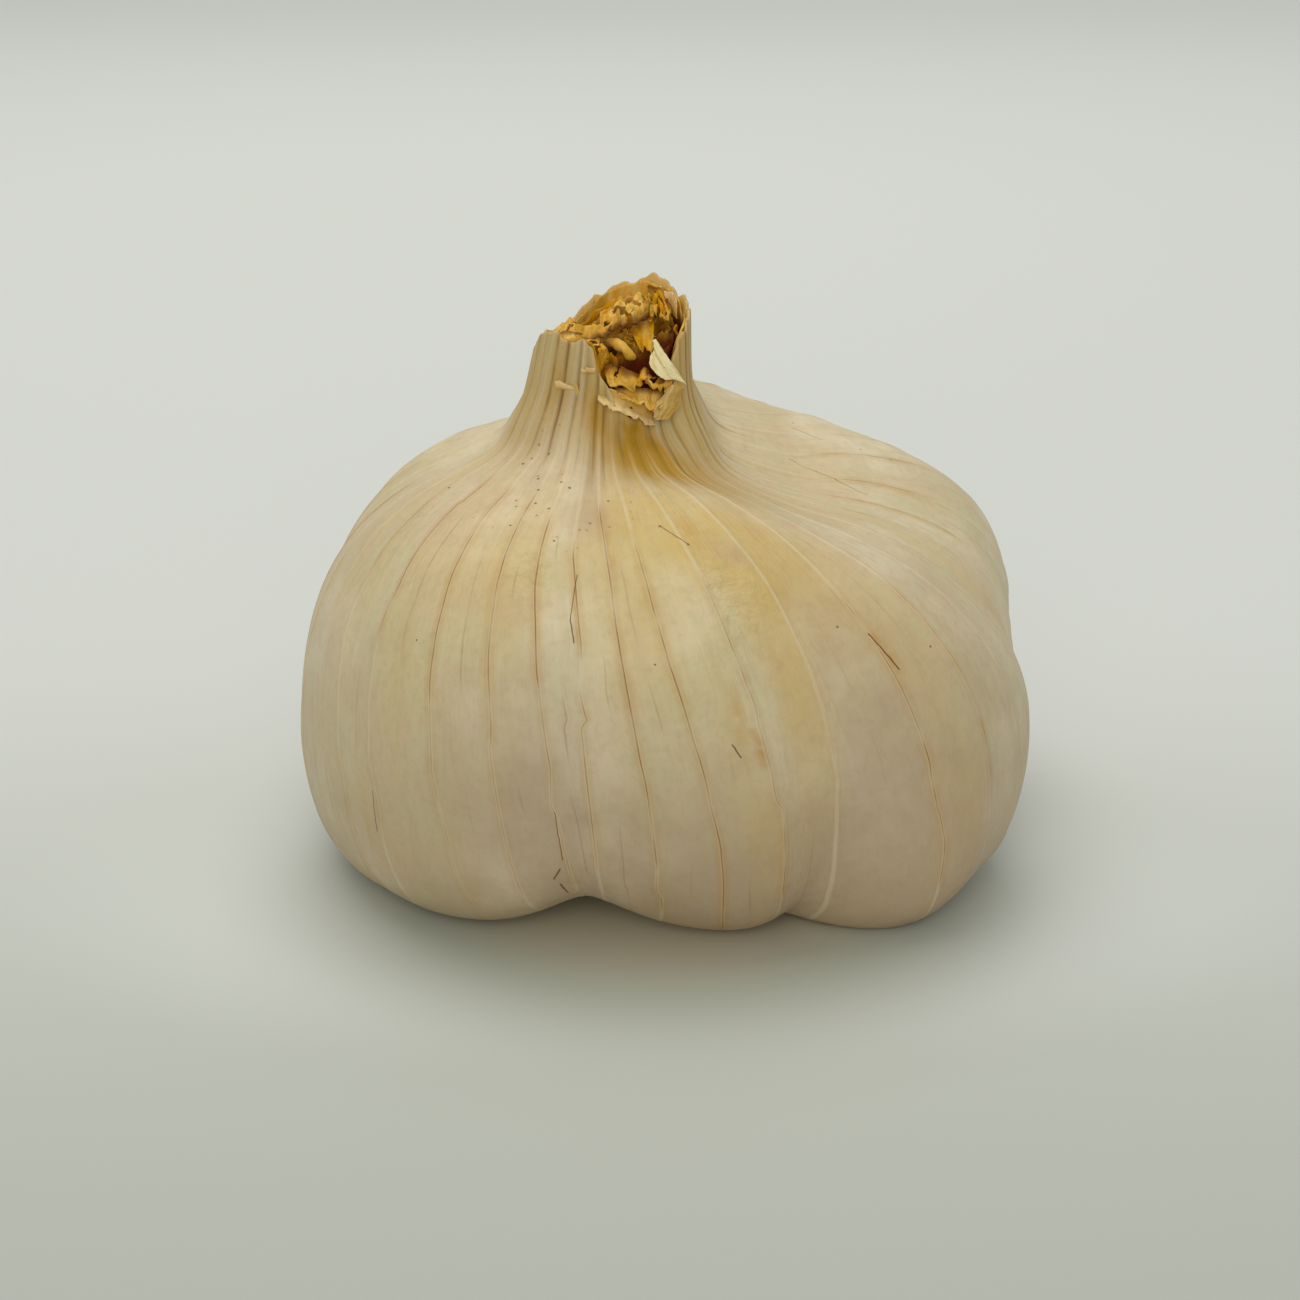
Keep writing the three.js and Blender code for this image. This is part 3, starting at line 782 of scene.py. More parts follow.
    def fibres(self, own: Array, s: Array, points: Array) -> Array:
        """Coordinates along the fibres: two that go round the bulb with a column, and one that runs up it."""
        angle = np.radians(own)[:, None]
        length = np.cumsum(np.linalg.norm(np.diff(points, axis=1, prepend=points[:, :1]), axis=-1), axis=1)
        turned = [self.fibre_turn * wave(angle) + 0 * s for wave in (np.cos, np.sin)]
        return np.stack([*turned, self.fibre_run * length], axis=-1)

    def relief(self, grid: dict[str, Array], points: Array, across: Array, fibre: Array) -> Array:
        """How far the skin stands out from the smooth form.

        The body has the veins' thin ridges, a low swell and hollows between the veins. The neck has rounded
        pleats and fine folds.

        Args:
            grid: the layout.
            points: the smooth form.
            across: distance from the nearest vein.
            fibre: coordinates along the fibres.

        Returns:
            A height for each point.
        """
        s = grid["s"]
        rng = np.random.default_rng(self.relief_seed)
        strengths = rng.uniform(0.4, 1.0, len(VEINS))[grid["vein"]][:, None]
        depths = rng.uniform(0.3, 1.0, len(VEINS))[grid["gap"]][:, None]
        body = step(0.18, 0.3, s)
        on_neck = step(0.7, 0.88, s)
        thread = np.exp(-np.abs(across / self.ridge_width) ** 1.5)
        ridge = self.vein_height * strengths * thread * (1 - on_neck)
        pleat = -self.pleat_height * depths * grid["rounded"] ** 2.5
        scallop = -self.scallop_depth * depths * grid["rounded"] ** 2
        swell = self.swell_height * noise(points / 9, seed=8, octaves=2)
        swell = swell + self.ripple_height * noise(fibre / 3.0, seed=9, octaves=2)
        folds = self.fold_height * noise(fibre / 1.4, seed=19, octaves=2) * on_neck
        relief = body * (ridge + swell + scallop) + on_neck * pleat * step(1.04, 0.93, s) + folds
        dimple_azimuth, dimple_s, dimple_depth = self.dimple
        dimple = bell(turn_between(grid["azimuth"], dimple_azimuth), 2.0) * bell(s - dimple_s, 0.012)
        return relief - dimple_depth * dimple

    def build(self) -> bpy.types.Object:
        """Works out the skin.

        The smooth form is lifted along its normals by the relief, then flattened where it stands, and turned
        in at the torn edge.

        Returns:
            The skin's object.
        """
        grid = self.layout()
        azimuth, s, own = grid["azimuth"], grid["s"], grid["own"]
        r, z = self.shape.profile(azimuth, s, self.edge(azimuth, s))
        points = self.shape.place(azimuth, r, z)
        across = np.radians(grid["from_vein"]) * r
        between = np.radians(grid["from_crease"]) * r
        fibre = self.fibres(own, s, points)
        relief = self.relief(grid, points, across, fibre)
        points = points + grid_normals(points, wrap=True) * relief[..., None]
        points[..., 2] = np.maximum(points[..., 2], 0)

        inner = self.cup(azimuth[:, -1], points[:, -1])
        rings = np.concatenate([points.transpose(1, 0, 2), inner], axis=0)
        pole = self.shape.place(0, 0, self.shape.hollow_height - self.shape.foot_flat)
        vertices, faces = closed_rings(rings, pole, self.shape.place(0, 0, self.cup_floor))

        depth = np.zeros((len(inner) + s.shape[1], len(azimuth)))
        depth[s.shape[1] :] = 1
        values = {
            "across": across,
            "between": between,
            "dark": self.stretches(grid["vein"], s[0]),
            "crease": self.creases(grid["gap"], s[0]),
            "place": s,
            **self.masks(own, s),
        }
        flat = {key: self.with_cup(value, len(inner)) for key, value in values.items()}
        flat["inside"] = np.append(depth.ravel(), [0, 1])
        carried = np.repeat(fibre[None, :, -1], len(inner), axis=0)
        fibre_rows = np.concatenate([fibre.transpose(1, 0, 2), carried])
        flat["fibre"] = np.vstack([fibre_rows.reshape(-1, 3), [[0, 0, 0], [0, 0, 0]]])
        return new_object("skin", vertices, faces, flat)

    def with_cup(self, grid: Array, rows: int) -> Array:
        """Carries a value of the outer grid on into the cup's rows and the two poles."""
        inner = np.repeat(grid[:, -1][None], rows, axis=0)
        return np.append(np.concatenate([grid.T, inner]).ravel(), [0, 0])

    def cup(self, azimuth: Array, edge: Array) -> Array:
        """The inside of the neck: straight lines from just inside the torn edge to the floor.

        Args:
            azimuth: azimuth of each column at the edge.
            edge: the edge's points.

        Returns:
            Points as rows, columns, xyz, from the edge down.
        """
        z_edge = edge[:, 2]
        middle = self.shape.place(0, 0, z_edge)[:, :2]
        r_edge = np.linalg.norm(edge[:, :2] - middle, axis=-1) - self.paper
        rows = []
        for row in range(self.cup_rows + 1):
            t = (row / self.cup_rows) ** 1.3
            r = r_edge * (1 - t) + self.cup_radius * t
            z = z_edge - 0.05 + (self.cup_floor - z_edge + 0.05) * t
            rows.append(self.shape.place(azimuth, r, z))
        return np.array(rows)


# The dried leaves in the neck


def smooth_path(knots: tuple, t: Array) -> Array:
    """Points on a smooth path through knots that stand at even steps from 0 to 1."""
    knots = np.asarray(knots, float)
    places = np.linspace(0, 1, len(knots))
    return np.stack([along(np.stack([places, knots[:, k]], axis=-1), t) for k in range(3)], axis=-1)


def whole_cells(cells: Array, holes: float) -> Array:
    """Which cells of a sheet are whole, by the noise at each: nearly all at holes 0, few at 1."""
    return cells < NOISE_TOP - HOLE_RATE * holes


@dataclass(frozen=True)
class Sheet:
    """A torn piece of dry leaf or skin between two lines of points, in millimetres from the neck's axis.

    The first line is where it hangs together with what is round it, and the second is its torn, free edge.
    """

    held: tuple
    free: tuple
    tone: float
    bulge: float = 0.15
    crumple: float = 0.1
    torn: float = 0.15
    holes: float = 0.0
    buried: float = 0.0
    ribs: float = 0.0
    cell: float = 0.10

    def shell(
        self, axis: tuple[float, float], thickness: float, seed: int
    ) -> tuple[Array, list, Array, Array]:
        """Works out the sheet.

        A point is (1 - v) times the first line plus v times the second, and v is stretched by noise so that
        the free edge is torn. The sheet is pushed out by a half sine and by ridged noise.

        Args:
            axis: where the neck's axis stands.
            thickness: of the sheet.
            seed: which random draw.

        Returns:
            The vertices, the faces, and for each vertex its flat place in the sheet and its v.
        """
        held, free = np.asarray(self.held, float), np.asarray(self.free, float)
        length = max(np.linalg.norm(np.diff(line, axis=0), axis=-1).sum() for line in (held, free))
        tall = np.linalg.norm(free - held, axis=-1).mean()
        columns, rows = int(length / self.cell) + 10, int(tall / self.cell) + 8
        u, v = np.meshgrid(np.linspace(0, 1, columns), np.linspace(0, 1, rows), indexing="ij")
        low, high = smooth_path(held, u[:, 0]), smooth_path(free, u[:, 0])
        place = u[:, 0] * length
        notches = step(0.15, 0.3, line_noise(place / 0.9 + 50, seed + 3))
        tears = line_noise(place / 1.1, seed, octaves=4) - 0.8 * notches
        share = v * (1 + self.torn * tears[:, None])
        points = low[:, None] + (high - low)[:, None] * share[..., None]
        flat = np.stack([u * length, share * tall, 0 * u + 3.1 * seed], axis=-1)
        ridged = 0.5 - 2 * np.abs(noise(flat / 1.2, seed + 1, octaves=3))
        waves = noise(flat / 2.2, seed + 2, octaves=2)
        out = self.bulge * np.sin(np.pi * v) + self.crumple * (ridged + 0.8 * waves)
        out = out + self.ribs * line_noise(share * tall * 3.0 + 5, seed + 5, octaves=2)
        points = points + grid_normals(points, wrap=False) * out[..., None]
        radius = np.linalg.norm(points[..., :2], axis=-1, keepdims=True)
        points[..., :2] *= 1 - self.buried * step(0.5, 0.0, v)[..., None] / radius
        points[..., :2] += axis
        kept = whole_cells(noise(flat[:-1, :-1] / [0.9, 0.6, 1], seed + 6, octaves=3), self.holes)
        vertices, faces, number = thin_shell(points, kept, thickness)
        return vertices, faces, flat.reshape(-1, 3)[number], v.reshape(-1)[number]


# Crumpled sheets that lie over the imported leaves, and the lips round the front tear.
SHEETS = (
    Sheet(((-4.6, -3.0, 47.2), (-2.6, -3.4, 46.9), (-0.4, -2.0, 47.2), (1.2, -0.6, 47.8), (2.7, -0.2, 48.3),
           (3.7, 0.4, 48.7)),
          ((-4.4, -1.6, 47.6), (-2.9, 1.5, 48.4), (-0.9, 1.9, 48.7), (1.2, 2.7, 49.5), (2.9, 3.0, 50.1),
           (4.1, 2.2, 50.2)),
          tone=0.30, bulge=0.2, crumple=0.45, torn=0.3, holes=0.68),
    Sheet(((-4.7, -3.2, 47.7), (-3.45, -2.2, 47.9), (-2.2, -1.8, 47.6), (-0.4, -2.4, 47.2)),
          ((-4.7, -3.9, 47.6), (-3.4, -5.0, 47.4), (-1.9, -4.8, 47.3), (-0.4, -3.7, 47.3)),
          tone=0.10, bulge=0.25, crumple=0.22, torn=0.3, holes=0.2),
    Sheet(((2.2, -0.5, 47.6), (3.2, -0.4, 48.3), (4.2, -0.3, 48.8)),
          ((3.1, -2.8, 46.5), (3.6, -3.0, 46.3), (4.1, -2.9, 46.6)),
          tone=0.62, bulge=0.3, crumple=0.14, torn=0.2),
    Sheet(((4.0, 3.2, 50.2), (5.0, 2.7, 50.5), (5.8, 1.0, 49.6)),
          ((3.9, 0.0, 48.9), (4.6, -0.6, 48.7), (5.5, -1.2, 48.6)),
          tone=0.55, bulge=0.1, crumple=0.5, torn=0.35, holes=0.6),
    Sheet(((0.0, -5.4, 45.5), (0.9, -5.2, 45.6), (1.7, -5.0, 45.2), (2.7, -4.8, 44.9), (3.3, -4.6, 45.0),
           (3.8, -4.3, 45.1)),
          ((0.5, -6.7, 44.3), (1.2, -6.7, 44.2), (2.2, -6.6, 43.8), (2.8, -6.4, 44.1), (3.1, -6.1, 44.5),
           (3.6, -5.7, 44.6)),
          tone=0.62, bulge=0.3, crumple=0.3, torn=0.3),
    Sheet(((3.4, -4.8, 44.9), (4.3, -4.7, 44.5), (5.0, -4.4, 44.3), (5.9, -4.0, 44.3)),
          ((3.8, -6.0, 44.0), (4.4, -6.0, 43.7), (5.0, -5.8, 43.7), (5.6, -5.3, 43.9)),
          tone=0.48, bulge=0.3, crumple=0.25, torn=0.35),
    Sheet(((0.9, -5.9, 44.1), (2.2, -5.8, 43.9), (3.4, -5.6, 43.9), (4.2, -5.4, 43.7), (5.1, -4.9, 43.4)),
          ((1.6, -7.2, 43.5), (2.9, -7.2, 43.0), (3.7, -6.95, 42.6), (4.4, -6.7, 42.3), (5.0, -6.2, 42.6)),
          tone=0.28, bulge=0.3, crumple=0.2, torn=0.3),
    Sheet(((-0.4, -5.6, 44.3), (-0.2, -4.6, 45.2), (0.2, -3.6, 45.4)),
          ((-0.6, -5.9, 46.6), (-0.4, -4.6, 46.9), (0.2, -3.2, 47.0)),
          tone=0.75, bulge=0.1, crumple=0.3, torn=0.3),
)


@dataclass(frozen=True)
class TornLeaf:
    """One dried leaf layer that stands inside the neck, torn along its top."""

    azimuths: tuple[float, float]
    radii: tuple[float, float]
    over: float
    tone: float
    crumple: float = 0.35
    holes: float = 0.0
    tear: float = 0.7


# Azimuths from and to, radius at the foot and at the top, how far over the torn edge the top stands, then
# tone from pale tan 0 to deep ochre 1, and how crumpled, holed and torn it is.
LEAVES = (
    TornLeaf((0, 200), (5.4, 6.15), -0.6, 0.40, 0.08, 0.0, 0.2),
    TornLeaf((-118, -26), (5.5, 6.4), -0.1, 0.50, 0.08, 0.0, 0.2),
    TornLeaf((20, 178), (4.6, 5.2), -1.3, 0.85, 0.2, 0.1, 0.6),
    TornLeaf((38, 204), (3.7, 4.5), -1.9, 0.4, 0.5, 0.4, 0.8),
    TornLeaf((-22, 70), (4.6, 5.4), -0.9, 0.55, 0.45, 0.4, 0.7),
    TornLeaf((-16, 64), (3.8, 4.6), -1.5, 0.65, 0.5, 0.45, 0.8),
    TornLeaf((-38, 12), (5.6, 6.05), -0.4, 0.1, 0.1, 0.0, 0.35),
    TornLeaf((196, 258), (5.5, 6.2), -0.2, 0.30, 0.1, 0.0, 0.3),
)


# The middle line of the dried stump, from behind the pit to its tip over the pit.
STUB = ((0.1, 1.3, 45.4), (0.55, 0.0, 46.5), (1.5, -2.2, 46.6), (2.5, -3.5, 45.8))


@dataclass
class NeckLeaves:
    """The crumpled, torn inner leaves that fill the neck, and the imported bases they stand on.

    The pit is a place and half widths from the neck's axis. No loose threads stand between the azimuths of
    bare_front. The leaves stay clear of the skin by more below its torn edge than above it, and they have no
    holes under the share whole_under of their height.
    """

    shape: BulbShape
    paper: float = 0.16
    cell: float = 0.175
    floor: float = 40.0
    foot: float = 41.0
    highest: float = 52.0
    opening_height: float = 47.9
    opening_slope: float = 0.3
    whole_under: float = 0.35
    notch: float = 1.1
    fray: float = 0.12
    ends_drop: float = 1.5
    clear_below: float = 0.42
    clear_above: float = 0.3
    packed_radius: float = 5.4
    packed_foot: float = 5.2
    packed_under_edge: float = 1.8
    packed_under_opening: float = 1.4
    packed_crumple: float = 1.3
    packed_grain: float = 0.3
    packed_columns: int = 150
    packed_rows: int = 34
    pit: tuple[float, float] = (2.3, -3.7)
    pit_half: tuple[float, float] = (1.9, 1.35)
    pit_depth: float = 4.2
    stub_rows: int = 40
    stub_columns: int = 28
    stub_radius: float = 0.54
    stub_tone: float = 0.22
    packed_tone: float = 0.75
    threads: int = 110
    thread_seed: int = 33
    bare_front: tuple[float, float] = (-115.0, -30.0)

    def opening(self, x: Array, y: Array) -> Array:
        """Height of the slanting plane that the torn opening lies in, at x and y from the neck's axis."""
        return self.opening_height + self.opening_slope * x + self.opening_slope * y

    def fill(self, gathered: Gathered) -> None:
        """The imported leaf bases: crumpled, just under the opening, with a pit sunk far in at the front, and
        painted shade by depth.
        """
        azimuth = np.linspace(0, 360, self.packed_columns, endpoint=False)
        share = np.linspace(1, 0.03, self.packed_rows)
        a, f = np.meshgrid(azimuth, share, indexing="ij")
        edge = np.maximum(around(TORN_EDGE, a) - self.packed_under_edge, self.floor + 0.8)
        r = self.packed_radius * f
        x, y = r * np.cos(np.radians(a)), r * np.sin(np.radians(a))
        far = ((x - self.pit[0]) / self.pit_half[0]) ** 2 + ((y - self.pit[1]) / self.pit_half[1]) ** 2
        pit = self.pit_depth * np.exp(-(far**1.5))
        rim = step(0.78, 1.0, f)
        z = (self.opening(x, y) - self.packed_under_opening) * (1 - rim) + edge * rim - pit
        rough = np.stack([x, y, 0 * x], axis=-1)
        z = z - self.packed_crumple * np.abs(noise(rough / 1.3, seed=60, octaves=3))
        z = z + self.packed_grain * noise(rough / 0.35, seed=61, octaves=2)
        top = self.shape.place(a, r, np.maximum(z, self.floor + 0.4)).transpose(1, 0, 2)
        foot = self.shape.place(azimuth, self.packed_foot, self.floor)[None]
        rings = np.concatenate([foot, top])
        centre = self.shape.place(0, 0, float(top[-1, :, 2].mean()))
        vertices, faces = closed_rings(rings, self.shape.place(0, 0, self.floor), centre)
        gathered.add(vertices, faces, self.dress(vertices, self.packed_tone, vertices * [1, 1, 0.3]))

    def dress(self, vertices: Array, tone: float, fibre: Array) -> dict[str, Array]:
        """Tone, painted shade by depth under the torn opening, and fibre direction for each vertex of a leaf.
        """
        away = vertices[:, :2] - np.array(self.shape.axis)
        opening = self.opening(away[:, 0], away[:, 1])
        return {
            "tone": np.full(len(vertices), tone),
            "depth_shade": step(1.0, 2.8, opening - vertices[:, 2]),
            "fibre": fibre,
        }

    def leaf(self, gathered: Gathered, leaf: TornLeaf, seed: int) -> None:
        """One torn leaf.

        Its middle surface stands on an arc, waved and crumpled by ridged noise, and its top is torn by noise
        along the arc. Cells where the noise passes a limit are left out as holes.

        Args:
            gathered: the piece it becomes a part of.
            leaf: its sizes.
            seed: which random draw.
        """
        start, end = leaf.azimuths
        arc = math.radians(end - start) * max(leaf.radii)
        columns = int(arc / self.cell) + 2
        rows = int((self.highest - self.foot) / self.cell) + 2
        u, v = np.meshgrid(np.linspace(0, 1, columns), np.linspace(0, 1, rows), indexing="ij")
        azimuth = start + (end - start) * u
        along_arc = u * arc
        torn = leaf.tear * line_noise(along_arc / 2.4, seed, octaves=3)
        torn = torn - self.notch * leaf.tear * step(0.25, 0.4, line_noise(along_arc / 1.3 + 50, seed + 3))
        torn = torn + self.fray * line_noise(along_arc / 0.4, seed + 9, octaves=2)
        ends = step(0, 0.14, np.minimum(u, 1 - u)) - 1
        high = around(TORN_EDGE, azimuth) + leaf.over + torn + self.ends_drop * ends
        z = self.foot + np.maximum(high - self.foot, 0.6) * v
        flat = np.stack([along_arc, z * 0.8, 0 * u + 3.1 * seed], axis=-1)
        ridged = 1 - 2 * np.abs(noise(flat / 1.5, seed + 1, octaves=3))
        wave = noise(flat * [0.35, 0.2, 1], seed + 2, octaves=2)
        r = leaf.radii[0] + (leaf.radii[1] - leaf.radii[0]) * v
        r = r + leaf.crumple * (0.7 * ridged + 0.9 * wave) * step(0, 0.3, v)
        r = np.minimum(r, self.room(azimuth, z))
        points = self.shape.place(azimuth, np.maximum(r, 0.25), z)
        points[..., :2] += (leaf.crumple * 0.5 * noise(flat / 0.8, seed + 4, octaves=2) * v)[..., None]
        whole = whole_cells(noise(flat[:-1, :-1] / [1.3, 1.0, 1], seed + 6, octaves=3), leaf.holes)
        kept = whole | (v[:-1, :-1] < self.whole_under)
        vertices, faces, number = thin_shell(points, kept, self.paper)
        fibre = (flat * [1, 0.2, 1]).reshape(-1, 3)[number]
        values = self.dress(vertices, leaf.tone, fibre)
        # Painted shade: a leaf darkens with how far it stands below its own torn top, as the shade in the gap
        # under the rim.
        sunk = (np.broadcast_to(high, z.shape) - z).reshape(-1)[number]
        values["depth_shade"] = np.maximum(values["depth_shade"], 0.9 * step(0.9, 2.6, sunk))
        gathered.add(vertices, faces, values)

    def room(self, azimuth: Array, z: Array) -> Array:
        """Largest radius inside the skin at a height."""
        r_edge, z_edge = self.shape.profile(azimuth, np.ones_like(azimuth))
        return np.where(z < z_edge, r_edge - self.clear_below, r_edge - self.clear_above)

    def stub(self, gathered: Gathered) -> None:
        """The dried stump of a leaf sheath, a short rod that lies on the leaves and hangs over the pit."""
        t = np.linspace(0, 1, self.stub_rows)
        middle = smooth_path(STUB, t) + np.array([*self.shape.axis, 0.0])
        ahead = np.gradient(middle, axis=0)
        ahead /= np.linalg.norm(ahead, axis=-1, keepdims=True)
        side = np.cross(ahead, np.array([0.2, 0.3, 1.0]))
        side /= np.linalg.norm(side, axis=-1, keepdims=True)
        other = np.cross(ahead, side)
        tip = np.sqrt(np.clip(1 - np.clip((t - 0.93) / 0.075, 0, 1) ** 2, 0.05, 1))
        radius = self.stub_radius * (1 - 0.12 * t) * tip
        a = np.radians(np.linspace(0, 360, self.stub_columns, endpoint=False))[None, :, None]
        ring = np.cos(a) * side[:, None] - 0.85 * np.sin(a) * other[:, None]
        points = middle[:, None] + radius[:, None, None] * ring
        points = points + 0.08 * noise(points / 0.8, seed=91, octaves=3)[..., None]
        vertices, faces = closed_rings(points[:, ::-1], middle[0], middle[-1] + 0.02 * ahead[-1])
        values = self.dress(vertices, self.stub_tone, vertices * [1, 1, 0.3])
        values["depth_shade"] = np.zeros(len(vertices))
        gathered.add(vertices, faces, values)

    def strands(self, gathered: Gathered) -> None:
        """Torn fibres between the leaves: thin bent threads with three sides."""
        rng = np.random.default_rng(self.thread_seed)
        for _ in range(self.threads):
            azimuth = rng.uniform(0, 360)
            radius = rng.uniform(0.8, 5.2)
            angle = math.radians(azimuth)
            top = self.opening(radius * math.cos(angle), radius * math.sin(angle)) - rng.uniform(0.4, 1.6)
            if self.bare_front[0] < turn_between(azimuth, 0) < self.bare_front[1]:
                continue
            start = self.shape.place(azimuth, radius, top - 0.4)
            reach = np.array([rng.normal(0, 0.8), rng.normal(0, 0.8), rng.uniform(0.1, 0.9)])
            t = np.linspace(0, 1, 7)[:, None]
            bend = rng.normal(0, 0.6, 3)
            path = start + reach * t + bend * (t * (1 - t))
            thick = rng.uniform(0.04, 0.10) * (1 - 0.7 * t)
            points = thread_rings(path, thick, np.radians([0, 120, 240]))
            vertices, faces = closed_rings(points, path[0], path[-1])
            gathered.add(vertices, faces, self.dress(vertices, rng.uniform(0.0, 0.6), vertices))

    def build(self) -> bpy.types.Object:
        """Gathers the bases, the leaves, the stump and the loose fibres into one piece."""
        gathered = Gathered()
        self.fill(gathered)
        for order, leaf in enumerate(LEAVES):
            self.leaf(gathered, leaf, 100 + 10 * order)
        for order, sheet in enumerate(SHEETS):
            vertices, faces, flat, v = sheet.shell(self.shape.axis, self.paper, 500 + 10 * order)
            values = self.dress(vertices, sheet.tone, flat * [1, 0.35, 1])
            # Painted shade along the held edge, where the sheet tucks under.
            values["depth_shade"] = 0.8 * step(0.35, 0.0, v)
            gathered.add(vertices, faces, values)
        self.stub(gathered)
        self.strands(gathered)
        return gathered.build("dried_neck_leaves")


# Scraps of the outermost skin on the neck. A scrap's tone is how bleached its free edge is.
SCRAPS = (
    Sheet(((-0.5, -6.7, 44.2), (0.6, -6.9, 44.1), (1.5, -6.9, 43.7), (2.45, -6.6, 43.1), (3.4, -6.1, 42.5),
           (4.2, -5.6, 42.0)),
          ((-0.5, -7.3, 43.4), (0.5, -7.8, 42.6), (1.5, -7.9, 42.1), (2.45, -7.6, 41.6), (3.4, -7.05, 41.1),
           (4.4, -6.3, 40.8)),
          tone=0.85, bulge=0.25, crumple=0.08, torn=0.18),
    Sheet(((5.7, -5.3, 41.0), (6.5, -4.4, 42.0), (6.9, -3.9, 43.2), (6.7, -3.9, 44.3)),
          ((4.2, -6.7, 41.3), (4.6, -6.5, 42.2), (4.95, -6.1, 43.1), (5.6, -5.4, 43.9)),
          tone=0.45, bulge=0.1, crumple=0.12, torn=0.2, buried=0.25, ribs=0.15),
    Sheet(((-4.0, -5.7, 43.4), (-3.5, -6.05, 43.6), (-2.9, -6.35, 43.6), (-2.2, -6.65, 43.6)),
          ((-4.2, -5.8, 44.4), (-3.5, -6.3, 44.5), (-2.9, -6.6, 44.4), (-2.1, -6.85, 44.5)),
          tone=1.0, bulge=0.05, crumple=0.05, torn=0.2, buried=0.3),
    Sheet(((-3.6, -6.3, 38.6), (-3.6, -6.2, 40.6), (-3.6, -6.15, 42.0), (-3.9, -5.9, 43.1),
           (-4.1, -5.7, 44.3)),
          ((-1.7, -7.1, 38.4), (-1.5, -7.15, 40.8), (-1.5, -7.15, 42.2), (-1.8, -7.05, 43.3),
           (-2.3, -6.85, 44.6)),
          tone=0.25, bulge=0.12, crumple=0.03, torn=0.03, buried=0.45),
    Sheet(((-1.9, -6.65, 45.3), (-1.3, -6.8, 45.3), (-0.7, -6.9, 45.2)),
          ((-1.9, -6.8, 46.2), (-1.3, -7.0, 46.15), (-0.7, -7.05, 46.0)),
          tone=0.85, bulge=0.05, crumple=0.03, torn=0.35, buried=0.3),
    Sheet(((4.8, 2.6, 49.3), (5.7, 1.5, 48.9), (6.2, 0.3, 48.5)),
          ((4.7, 2.7, 50.7), (5.7, 1.5, 50.5), (6.2, 0.3, 49.7)),
          tone=1.0, bulge=0.05, crumple=0.06, torn=0.55),
)
# The pale flake: two ribbed ribbons, each from its pointed top down to where it hangs on the neck.
FLAKE = (
    Sheet(((4.1, -3.7, 47.4), (4.4, -4.4, 46.6), (5.0, -5.0, 45.5), (5.8, -5.2, 44.5)),
          ((4.4, -3.5, 47.6), (5.0, -4.2, 46.8), (5.9, -4.7, 45.6), (7.0, -4.6, 43.9)),
          tone=1.0, bulge=0.2, crumple=0.04, torn=0.06, ribs=0.12),
    Sheet(((4.3, -4.0, 46.9), (4.8, -4.5, 46.4), (5.4, -4.9, 45.5), (5.95, -5.1, 44.5)),
          ((4.0, -4.2, 46.5), (3.85, -4.9, 46.0), (4.3, -5.4, 45.1), (5.1, -5.5, 44.5)),
          tone=1.0, bulge=0.15, crumple=0.04, torn=0.12, ribs=0.12),
)


@dataclass
class TornSkin:
    """Scraps of the outermost skin that cling to the neck, and the pale flake on its right."""

    shape: BulbShape
    paper: float = 0.09

    def build(self) -> bpy.types.Object:
        """Gathers the scraps and the two ribbons of the pale flake into one piece."""
        gathered = Gathered()
        for order, sheet in enumerate(SCRAPS + FLAKE):
            vertices, faces, flat, v = sheet.shell(self.shape.axis, self.paper, 300 + 10 * order)
            pale = float(sheet in FLAKE)
            values = {
                "tone": np.full(len(vertices), pale),
                "edge": sheet.tone * (1 - pale) * step(0.2, 0.9, v),
                "fibre": flat * [0.35, 1, 1],
            }
            gathered.add(vertices, faces, values)
        return gathered.build("torn_skin_scraps")


# The root plate


# The plate's section, as radius and height, from the middle of its underside round its rim to its top.
PLATE_SECTION = np.array([
    [0.2, 1.75], [2, 1.75], [4, 1.8], [6, 1.9], [7.5, 2.05], [8.7, 2.3], [9.2, 2.7],
    [9.1, 3.2], [8.3, 3.7], [7.4, 3.85], [3, 3.85], [0.2, 3.85],
])
# Degrees from one root to the next, which spread them evenly.
GOLDEN_TURN = 137.508


